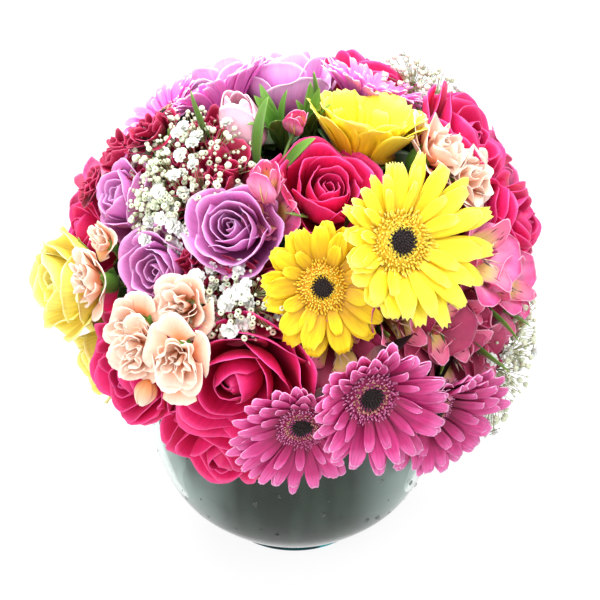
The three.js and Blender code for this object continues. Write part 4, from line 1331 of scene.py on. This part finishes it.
tulip_finish = petal_finish(
    "tulip petal", [(0, 210, 214, 170), (0.25, 246, 186, 206), (0.8, 252, 200, 220),
     (1, 246, 166, 200)],
    (254, 230, 238), vein_count=18, mottle=0.06)
bm = tulip_head(random.Random("tulip"))
lifted = head_matrix("tulip") @ Matrix.Translation((0, 0, TULIP_LIFT))
bmesh.ops.transform(bm, matrix=lifted, verts=bm.verts)
tulip = finish_piece(bm, "tulip_cup", [tulip_finish], "tulip_petal", ["tulip_petals"], wall=0.5)
print("tulip faces:", len(tulip.data.polygons))

# %% [markdown]
# ## Stems, green cups and leaves
# Every stem is a tube along a smooth curve from the foam to its head, so one curve object with a
# round bevel makes them all. The green bracts and sepals below the heads use the petal grower.

# %% Stems
FOAM_CENTRE = Vector((0, 0, FOAM_BALL_CENTRE))
STEM_LEAST_RISE = 7
STEM_ROOT = 33
STEM_CLEARANCE = 5
NECK_LENGTH = 13
FORK_DEPTH = 8
BRANCH_BOW = 1.5
STEM_RADIUS = 1.9
BRANCH_RADIUS = 1.0
TULIP_STALK_RADIUS = 2.4


def head_axes(key):
    matrix = Matrix(seats[key]["matrix"].tolist())
    return matrix.translation, matrix.col[2].xyz.normalized(), matrix


def stem_path(base, axis, top):
    out = base - FOAM_CENTRE
    azimuth = math.degrees(math.atan2(out.x, -out.y))
    elevation = max(math.degrees(math.asin(out.z / out.length)), STEM_LEAST_RISE)
    root = direction(azimuth, elevation)
    return [FOAM_CENTRE + STEM_ROOT * root, FOAM_CENTRE + (FOAM_BALL_RADIUS + STEM_CLEARANCE) * root,
            base - NECK_LENGTH * axis, top]


def tubes(name, paths, material, slot, replaces=(), sides=2):
    """One piece made of round tubes. Each path is a list of points in millimetres and a radius."""
    curve = bpy.data.curves.new(name, "CURVE")
    curve.dimensions = "3D"
    curve.bevel_depth = 1
    curve.bevel_resolution = sides
    curve.resolution_u = 6
    curve.use_fill_caps = True
    for points, radius in paths:
        spline = curve.splines.new("BEZIER")
        spline.bezier_points.add(len(points) - 1)
        for knot, point in zip(spline.bezier_points, points):
            knot.co = Vector(point) * MM
            knot.handle_left_type = knot.handle_right_type = "AUTO"
            knot.radius = radius * MM
    carrier = bpy.data.objects.new(name + " curve", curve)
    mesh = bpy.data.meshes.new_from_object(carrier)
    bpy.data.objects.remove(carrier)
    mesh.name = name
    mesh.materials.clear()
    return dress(name, mesh, [material], slot, replaces)


def leaf_finish(name, stops, rim):
    return petal_finish(name, stops, rim, vein_count=16, vein_depth=0.4, gloss=0.4, glow=0.06)


leaf_green = leaf_finish(
    "leaf green", [(0, 60, 96, 34), (0.5, 84, 132, 46), (1, 112, 160, 66)],
    (140, 180, 90))
leaf_dark = leaf_finish(
    "leaf dark", [(0, 24, 44, 22), (0.5, 38, 66, 30), (1, 58, 92, 42)],
    (80, 112, 56))
paths = []
for key in [*ROSES, *GERBERAS]:
    base, axis, matrix = head_axes(key)
    paths.append((stem_path(base, axis, matrix @ Vector((0, 0, 0.1))), STEM_RADIUS))
for key, heads in {**CARNATIONS, **ALSTROEMERIAS}.items():
    homes = [head_axes(f"{key}{i}") for i in range(len(heads))]
    centre = sum((base for base, _, _ in homes), Vector()) / len(homes)
    axis = (centre - FOCUS).normalized()
    fork = centre - FORK_DEPTH * axis
    paths.append((stem_path(fork, axis, fork + axis), STEM_RADIUS))
    for base, _, matrix in homes:
        middle = (fork + base) / 2 + BRANCH_BOW * axis
        paths.append(([fork, middle, matrix @ Vector((0, 0, 0.15))], BRANCH_RADIUS))
tubes("stems", paths, stem_green, "green_leaf")
base, axis, matrix = head_axes("tulip")
tulip_path = stem_path(base, axis, matrix @ Vector((0, 0, 0.05)))
tubes("tulip_stalk", [(tulip_path, TULIP_STALK_RADIUS)], leaf_green, "green_leaf", ["tulip_stem"], sides=4)
print("stems:", len(paths))

# %% Green cups under the heads
SEPALS = 5
BRACTS = 16
LEAF_WALL = 0.4


def rose_sepals(bm):
    for i in range(SEPALS):
        line = middle_line((0.03, -0.06), (0.5, -0.1), (0.8, 0.3), 0.1, 60)
        shape = strap_shape(line, 0.16, 2 * math.pi * i / SEPALS, 0.03, 0.5, 0, 0, 0.4, 0.5)
        add_petal(bm, shape, 8, 4, (0, i / SEPALS, 0))


def gerbera_cup(bm, radius=0.42, bottom=0.0, top=0.26):
    """Two rings of narrow green bracts."""
    for k, (lift, size) in enumerate(((0, 1), (0.06, 0.85))):
        for i in range(BRACTS):
            turn = 2 * math.pi * (i + 0.5 * k) / BRACTS
            line = middle_line((0.04, bottom), (radius * 0.9, bottom), (radius * size, top - lift))
            add_petal(bm, strap_shape(line, radius * 0.24, turn, -0.02, 0.7), 4, 2, (k, i / BRACTS, 0), 0)


cups = bmesh.new()
cup_places = [(rose_sepals, head_matrix(key)) for key in ROSES]
cup_places += [(gerbera_cup, head_matrix(key)) for key in GERBERAS]
cup_places += [(carnation_calyx, head_matrix(f"{key}{i}") @ Matrix.Scale(CARNATION_FULLNESS, 4))
               for key, heads in CARNATIONS.items() for i in range(len(heads))]
for make_cup, matrix in cup_places:
    cup = bmesh.new()
    make_cup(cup)
    append_bmesh(cups, cup, matrix)
    cup.free()
finish_piece(cups, "green_cups", [leaf_green], "green_leaf", wall=LEAF_WALL)
print("green cups:", len(cup_places))

# %% Strap leaves in the crown, and filler leaves in the gaps
def strap_leaf(bm, base, axis, side, length, width, bend, rng):
    """A leaf in millimetres that leaves its base along an axis and bends to one side."""
    across = axis.cross(side).normalized()
    side = across.cross(axis).normalized()
    tip = (bend * length, length * (1 - 0.3 * abs(bend)))
    line = middle_line((0, 0), (bend * 0.15 * length, 0.6 * length), tip)

    def shape(u, v):
        out, up = follow(line, v)
        half = width * np.sin(math.pi * np.clip(0.12 + 0.88 * v, 0, 1)) ** 0.7
        fold = 0.25 * half * np.abs(u)
        return [base[k] + side[k] * (out - fold) + axis[k] * up + across[k] * half * u for k in range(3)]

    add_petal(bm, shape, 14, 6, (0.5, rng.random(), rng.random()))


def finish_leaves(bm, name, material, replaces=()):
    bmesh.ops.scale(bm, vec=(MM, MM, MM), verts=bm.verts)
    finish_piece(bm, name, [material], "green_leaf", replaces, wall=LEAF_WALL)


TUFT_LEAVES = 6
crown = bmesh.new()
rng = random.Random("crown leaves")
for i in range(len(LEAF_TUFTS)):
    base, axis, matrix = head_axes(f"leaves_crown{i}")
    size = seats[f"leaves_crown{i}"]["size"]
    for j in range(TUFT_LEAVES):
        turn = Matrix.Rotation(2 * math.pi * (j + rng.uniform(-0.2, 0.2)) / TUFT_LEAVES, 3, axis)
        side = turn @ matrix.col[0].xyz.normalized()
        root = base + 0.1 * size * side - size * axis
        length, width = size * rng.uniform(2.8, 3.6), size * rng.uniform(0.3, 0.42)
        strap_leaf(crown, root, axis, side, length, width, rng.uniform(0.1, 0.45), rng)
# root direction and distance, tip direction, length and half width of the leaves that show in front
SHOWN_LEAVES = [
    ((-16, 55), 122, (-34, 88), 47, 8.5),
    ((-44, 58), 116, (-70, 70), 46, 6.5),
    ((-6, 56), 118, (60, 60), 34, 6),
    ((4, 44), 120, (-20, 30), 30, 6),
    ((30, 74), 118, (40, 88), 34, 6),
    ((60, 6), 126, (66, -8), 36, 7),
    ((54, 10), 128, (60, -20), 40, 7),
    ((48, 2), 130, (54, -30), 36, 6),
    ((38, 8), 134, (20, -50), 26, 5),
    ((20, 12), 122, (24, 14), 26, 5),
]
for root, distance, tip, length, width in SHOWN_LEAVES:
    axis = direction(*tip)
    side = axis.cross(Vector((0.3, -0.9, 0.4))).normalized()
    base = FOCUS + distance * direction(*root)
    strap_leaf(crown, base, axis, side, length, width, rng.uniform(-0.2, 0.2), rng)
finish_leaves(crown, "crown_leaves", leaf_green, ["leaves_crown"])

# How many, least and most root distance from the focus, shortest and longest leaf
FILLER_SHELLS = [(150, 62, 74, 34, 46), (190, 86, 98, 28, 38)]
filler = bmesh.new()
rng = random.Random("filler leaves")
for count, nearest, farthest, shortest, longest in FILLER_SHELLS:
    for i in range(count):
        rise = 1 - (i + 0.5) / count * 1.3
        level = math.sqrt(1 - rise**2)
        turn = golden_turn(i)
        axis = Vector((math.cos(turn) * level, math.sin(turn) * level, rise))
        side = axis.cross(Vector([rng.uniform(-1, 1) for _ in range(3)])).normalized()
        base = FOCUS + rng.uniform(nearest, farthest) * axis
        lean = (axis + side * rng.uniform(0.3, 1.0)).normalized()
        length, width = rng.uniform(shortest, longest), rng.uniform(8, 12)
        strap_leaf(filler, base, lean, side, length, width, rng.uniform(0.2, 0.6), rng)
finish_leaves(filler, "filler_leaves", leaf_dark)
print("filler leaves:", sum(shell[0] for shell in FILLER_SHELLS))

# %% [markdown]
# ## Gypsophila
# Gypsophila is a cloud of tiny white florets on hair-thin forking stalks. A few are full double
# florets, many are half open cups with a green heart, and the rest are round buds. One of each is
# modelled once with few faces, and copied to the ends of the stalks.

# %% A floret, a half open cup and a bud, about 1 across
# Each whorl of a floret: how many petals, and how far out and up they reach
FLORET_WHORLS = [(8, 0.52, 0.10), (7, 0.44, 0.30), (5, 0.24, 0.44)]
CUP_OUTLINE = [(0, -0.5), (0.34, -0.36), (0.5, 0.02), (0.42, 0.36), (0.28, 0.34), (0.16, 0.1), (0, 0.06)]
BUD_OUTLINE = [(0, -0.5), (0.4, -0.25), (0.42, 0.15), (0, 0.5)]
HEART_RADIUS = 0.2


def floret_mesh():
    bm = bmesh.new()
    rng = random.Random("floret")
    for k, (count, out, up) in enumerate(FLORET_WHORLS):
        for i in range(count):
            turn = 2 * math.pi * (i + 0.5 * k + rng.uniform(-0.2, 0.2)) / count
            line = middle_line((0.03, 0.0), (0.3 * out, up * 0.8), (out, up), 0.05, 60)
            shape = strap_shape(line, 0.20, turn, 0.06, 0.15, 0, 0, 0.8, 0.4)
            add_petal(bm, shape, 2, 2, (k / 2, rng.random(), 0))
    return bm


def spun_bmesh(outline, steps):
    bm = bmesh.new()
    bm.verts.layers.float_color.new("tag")
    spin_outline(bm, outline, steps)
    return bm


def cup_mesh():
    """A half open floret, green in its heart."""
    bm = spun_bmesh(CUP_OUTLINE, 8)
    for face in bm.faces:
        centre = face.calc_center_median()
        if math.hypot(centre.x, centre.y) < HEART_RADIUS and centre.z > 0:
            face.material_index = 1
    return bm


def green_finish(name, low, high):
    return grain_finish(name, 300, 1, [(0.35, *low), (0.6, *high)], 0.6)


gypsophila_white = petal_finish(
    "gypsophila white", [(0, 210, 216, 190), (0.4, 242, 244, 238), (1, 253, 253, 252)],
    (255, 255, 255), vein_count=6, mottle=0.05, glow=0.15)
gypsophila_heart = green_finish("gypsophila heart", (52, 60, 30), (110, 110, 64))
gypsophila_stalk = green_finish("gypsophila stalk", (112, 116, 70), (160, 164, 112))
# Each part and its size in millimetres
PARTS = [(floret_mesh(), 8.6), (cup_mesh(), 3.6), (spun_bmesh(BUD_OUTLINE, 7), 2.3)]
print("faces of a floret, a cup and a bud:", [len(part.faces) for part, _ in PARTS])

# %% The clouds
# Full florets, half open cups and buds of each cloud, and how far the cloud spreads
CLOUDS = {
    "gypsophila_left": (36, 260, 150, 1.7),
    "gypsophila_deep": (10, 90, 60, 1.3),
    "gypsophila_front": (26, 80, 60, 1.75),
    "gypsophila_right": (16, 110, 130, 2.0),
    "gypsophila_back": (22, 110, 110, 1.7),
}
# How far each cloud stands off its solid, in millimetres
CLOUD_SHIFTS = {
    "gypsophila_left": (-3, 0, 0),
    "gypsophila_front": (-3, -7, -2),
    "gypsophila_right": (2, -6, -8),
    "gypsophila_back": (-9, 0, 9),
}
FORK_SHARE = 8
FORK_REACH = 0.8
FORK_RADIUS = 0.40
STALK_RADIUS = 0.20
CLOUD_STEM_RADIUS = 1.1
stalks = []


def spread_point(matrix, out, turn, up):
    return matrix @ Vector((out * math.cos(turn), out * math.sin(turn), up))


def random_vector(rng, size):
    return Vector([rng.uniform(-size, size) for _ in range(3)])


for key, (*counts, spread) in CLOUDS.items():
    rng = random.Random(key)
    cloud = bmesh.new()
    base, axis, matrix = head_axes(key)
    matrix = Matrix.Translation(CLOUD_SHIFTS.get(key, (0, 0, 0))) @ matrix
    kinds = [kind for kind, number in enumerate(counts) for _ in range(number)]
    rng.shuffle(kinds)
    fork_count = len(kinds) // FORK_SHARE
    forks = []
    for i in range(fork_count):
        out = FORK_REACH * math.sqrt((i + 0.5) / fork_count)
        fork = spread_point(matrix, out, golden_turn(i), rng.uniform(0.3, 0.8))
        forks.append(fork)
        stalks.append(([base + 1.0 * axis, (base + fork) / 2 + 2 * axis, fork], FORK_RADIUS))
    stalks.append((stem_path(base, axis, base + 1.2 * axis), CLOUD_STEM_RADIUS))
    for i, kind in enumerate(kinds):
        share = math.sqrt((i + 0.5) / len(kinds))
        turn = golden_turn(i) + rng.uniform(-0.4, 0.4)
        out = spread * share * rng.uniform(0.9, 1.06)
        top = 1.55 - 0.55 * share**2
        end = spread_point(matrix, out, turn, top - rng.random() ** 1.3 * 0.9)
        fork = min(forks, key=lambda place: (place - end).length)
        stalks.append(([fork, (fork + end) / 2 + 1.0 * axis, end], STALK_RADIUS))
        facing = ((end - fork).normalized() + axis + random_vector(rng, 0.6)).normalized()
        turned = facing.to_track_quat("Z", "Y").to_matrix().to_4x4()
        part, size = PARTS[kind]
        append_bmesh(cloud, part, Matrix.Scale(MM, 4) @ Matrix.Translation(end) @ turned
                     @ Matrix.Scale(size * rng.uniform(0.75, 1.15), 4))
    finish_piece(cloud, key + "_florets", [gypsophila_white, gypsophila_heart], "gypsophila",
                 [key] if key in GYPSOPHILAS else ())
tubes("gypsophila_stalks", stalks, gypsophila_stalk, "green_leaf", sides=0)
print("florets and buds:", sum(sum(cloud[:3]) for cloud in CLOUDS.values()))

# %% [markdown]
# ## The glass bowl, its leaf lining and the foam
# A blown bubble bowl is one wall of even thickness, so its outline is drawn once and spun round the
# upright axis. The outline goes up the outside, over the rounded lip and down the inside, which makes
# a real wall for the light to bend in.

# %% The bowl's outline
GLASS_WALL = 3
RIM_HEIGHT = BOWL_CENTRE + math.sqrt(BOWL_RADIUS**2 - MOUTH_RADIUS**2)
SPIN_STEPS = 96
BASE = 13
BALL_STEPS = 26
INSIDE_STEPS = 44
# The lip is rounded: its half width, half height and the angles of its corners
LIP = (1.5, 1.4, np.radians([20, 60, 90, 130, 170]))
# Low down the blown ball was pressed a little flat, so the wall there is a slack curve up to the ball
SLACK_TOP = 35
SLACK_BEND = (74, 22)
SLACK_STEPS = 12


def arc(radius, low, high, steps):
    """Points on the bowl's ball from one height to another, as (out, up) in millimetres."""
    angles = [math.asin((z - BOWL_CENTRE) / radius) for z in (low, high)]
    return [(radius * math.cos(a), BOWL_CENTRE + radius * math.sin(a)) for a in np.linspace(*angles, steps)]


def spun_piece(name, outline, material, slot, replaces):
    bm = bmesh.new()
    spin_outline(bm, [(out * MM, up * MM) for out, up in outline], SPIN_STEPS)
    return finish_piece(bm, name, [material], slot, replaces)


def slack_point(t, end):
    """A point of the curve from the foot to the ball, which leans on SLACK_BEND."""
    corners = zip((FOOT_RADIUS, 0), SLACK_BEND, end)
    return tuple((1 - t) ** 2 * a + 2 * t * (1 - t) * b + t**2 * c for a, b, c in corners)


inside = BOWL_RADIUS - GLASS_WALL
slack_end = (math.sqrt(BOWL_RADIUS**2 - (BOWL_CENTRE - SLACK_TOP) ** 2), SLACK_TOP)
slack = [slack_point(t, slack_end) for t in np.linspace(0, 1, SLACK_STEPS)[:-1]]
lip_out, lip_up, lip_angles = LIP
lip = [(MOUTH_RADIUS - lip_out + lip_out * math.cos(a), RIM_HEIGHT + lip_up * math.sin(a))
       for a in lip_angles]
outer_wall = arc(BOWL_RADIUS, SLACK_TOP, RIM_HEIGHT, BALL_STEPS)
inner_wall = reversed(arc(inside, BASE, RIM_HEIGHT - 0.4, INSIDE_STEPS))
bowl_outline = [(0, 0), *slack, *outer_wall, *lip, *inner_wall, (0, BASE)]
print("bowl rim at", round(RIM_HEIGHT, 1), "mm")

# %% Glass and the foot
# Colours of the glass from its foot upwards, over its lowest 16 mm
GLASS_TINT = [(0, 4, 84, 92), (0.6, 20, 108, 112), (1, 238, 250, 246)]
TINT_TOP = 0.016
FOOT_TEAL = [(0.4, 0, 34, 40), (0.58, 2, 64, 72), (0.68, 30, 150, 158)]
FOOT_HEIGHT = 4.0
FOOT_INSIDE = FOOT_RADIUS - 6
FOOT_OUTSIDE = FOOT_RADIUS + 3


def clear_finish(name, scale, detail, bump, roughness, bend, specular=0.5):
    """Glass or water. The bend is its index of refraction."""
    material, tree, shader = new_finish(name)
    add_bump(tree, shader, grain_of(tree, body_place(tree), scale, detail), *bump)
    set_shader(shader, {"Roughness": roughness, "IOR": bend, "Transmission Weight": 1,
                        "Specular IOR Level": specular})
    return material, tree, shader


glass, tree, shader = clear_finish("clear glass", 14, 1, (0.06, 0.002), 0.02, 1.42, 0.3)
height = put_node(tree, "ShaderNodeSeparateXYZ", {"Vector": body_place(tree)}).outputs["Z"]
tint = ramp_of(tree, GLASS_TINT, stretched(tree, height, 0, TINT_TOP))
tree.links.new(tint, shader.inputs["Base Color"])
spun_piece("bowl", bowl_outline, glass, "clear_glass", ["glass_bowl"])
foot = [(FOOT_INSIDE, 0.05), (FOOT_OUTSIDE, 0.05), (FOOT_OUTSIDE + 0.3, 0.5),
        (FOOT_OUTSIDE + 2.6, FOOT_HEIGHT), (FOOT_OUTSIDE + 1, FOOT_HEIGHT + 0.2),
        (FOOT_INSIDE, FOOT_HEIGHT + 0.2), (FOOT_INSIDE, 0.05)]
foot_finish = grain_finish("glass foot", 60, 2, FOOT_TEAL, 0.3, specular=0.1)
spun_piece("glass_foot", foot, foot_finish, "clear_glass", [])
print("foot is", FOOT_HEIGHT, "mm high")

# %% The leaf lining
CONTACT = 0.15
LEAF_THICKNESS = 1.4
LEAF_SHADES = [(0.3, 14, 28, 18), (0.5, 30, 46, 34), (0.68, 66, 84, 70)]
# Painted reflection: the pale glare that the glass shows at its sides
SIDE_GLARE_COLOUR = (186, 202, 198)
FIBRE_TILT = math.radians(28)
FIBRE_DRAW = (70, 22, 9)


def lining_finish():
    material, tree, shader = new_finish("leaf lining")
    body = body_place(tree)
    drawn = put_node(tree, "ShaderNodeMapping", {"Vector": body, "Rotation": (0, FIBRE_TILT, 0),
                                                 "Scale": FIBRE_DRAW}).outputs[0]
    fibres = grain_of(tree, drawn, 1, 1)
    cloud = grain_of(tree, body, 14, 3)
    both = maths(tree, "MULTIPLY_ADD", fibres, 0.4, maths(tree, "MULTIPLY", cloud, 0.6))
    shade = ramp_of(tree, LEAF_SHADES, both)
    # painted reflection: the leaf is painted pale at its left and right sides, more in front and above
    #     # the foot, for the pale glare of the white room in the glass there
    x, y, z = put_node(tree, "ShaderNodeSeparateXYZ", {"Vector": body}).outputs
    side = stretched(tree, maths(tree, "ABSOLUTE", x), 0.034, 0.074)
    above = stretched(tree, z, 0.016, 0.05)
    front = stretched(tree, y, 0.01, 0.06, 1, 0.2)
    mottled = stretched(tree, cloud, 0.38, 0.56, 0.35, 1.05)
    glare_share = maths(tree, "MULTIPLY", maths(tree, "MULTIPLY", side, above),
                   maths(tree, "MULTIPLY", front, mottled))
    tree.links.new(mixed(tree, glare_share, shade, colour(*SIDE_GLARE_COLOUR)), shader.inputs["Base Color"])
    add_bump(tree, shader, fibres, 0.3, 0.0008)
    set_shader(shader, {"Roughness": 0.6, "Specular IOR Level": 0.15})
    return material


def stand_off(place):
    """The leaf is wet against the glass in front and low down, and stands off it at the sides."""
    side = place.x**2 / max(place.x**2 + place.y**2, 1e-9)
    height = min(max((place.z / MM - 14) / 40, 0), 1)
    uneven = noise.noise(place * 28) * 0.22 + noise.noise(place * 70) * 0.08
    return 9 * min(max(side * height - 0.66 + uneven, 0), 0.6)


lining_outer = inside + CONTACT
lining_foot, lining_top = BASE + 0.3, RIM_HEIGHT - 4
lining_floor = BASE + 1.7
wet_side = arc(lining_outer, lining_foot, lining_top, INSIDE_STEPS)
dry_side = reversed(arc(lining_outer - LEAF_THICKNESS, lining_floor, lining_top, INSIDE_STEPS))
lining = [(0, lining_foot), *wet_side, *dry_side, (0, lining_floor)]
leaf = spun_piece("lining", lining, lining_finish(), "lining_leaf", ["leaf_lining"])
for vert in leaf.data.vertices:
    out = math.hypot(vert.co.x, vert.co.y)
    if out > 0.02:
        vert.co.xy *= 1 - stand_off(vert.co) * MM / out
print("lining corners:", len(leaf.data.vertices))

# %% The foam keeps its solid and gets a finish
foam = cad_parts["floral_foam"]
foam.data.materials.clear()
FOAM_GREENS = [(0.3, 14, 40, 18), (0.7, 36, 74, 36)]
foam.data.materials.append(grain_finish("wet foam", 700, 2, FOAM_GREENS, 0.85, (0.6, 0.0006)))
print("foam finish:", foam.data.materials[0].name)

# %% [markdown]
# ## Water on the glass
# The flowers were sprayed, so drops cling to the bowl. A drop on glass is a low dome, a little longer
# than wide as it starts to run. Each drop is a small ball that is pressed flat on the wall.

# %% Drops
DROP_COUNT = 90
DROP_PLACES = (-48, 38, 150)
DROP_SIZES = (0.5, 0.8, 1.1, 1.7)
DROP_TOP = 112

water, _, _ = clear_finish("water drop", 400, 2, (0.2, 0.0003), 0.03, 1.33)
drops = bmesh.new()
drop = bmesh.new()
bmesh.ops.create_icosphere(drop, subdivisions=2, radius=1)
rng = random.Random("drops")
for i in range(DROP_COUNT):
    turn = math.radians(rng.choice(DROP_PLACES) + rng.gauss(0, 26))
    height = rng.uniform(SLACK_TOP + 2, DROP_TOP)
    sink = math.asin((height - BOWL_CENTRE) / BOWL_RADIUS)
    normal = Vector((math.sin(turn) * math.cos(sink), -math.cos(turn) * math.cos(sink), math.sin(sink)))
    place = Vector((0, 0, BOWL_CENTRE)) + BOWL_RADIUS * normal
    size = rng.choice(DROP_SIZES)
    turned = normal.to_track_quat("Z", "Y").to_matrix().to_4x4()
    stretch = Matrix.Diagonal((size, size * rng.uniform(1.0, 1.6), size * 0.6, 1))
    append_bmesh(drops, drop, Matrix.Scale(MM, 4) @ Matrix.Translation(place) @ turned @ stretch)
drop.free()
finish_piece(drops, "water_drops", [water], "clear_glass")
print("drops:", DROP_COUNT)
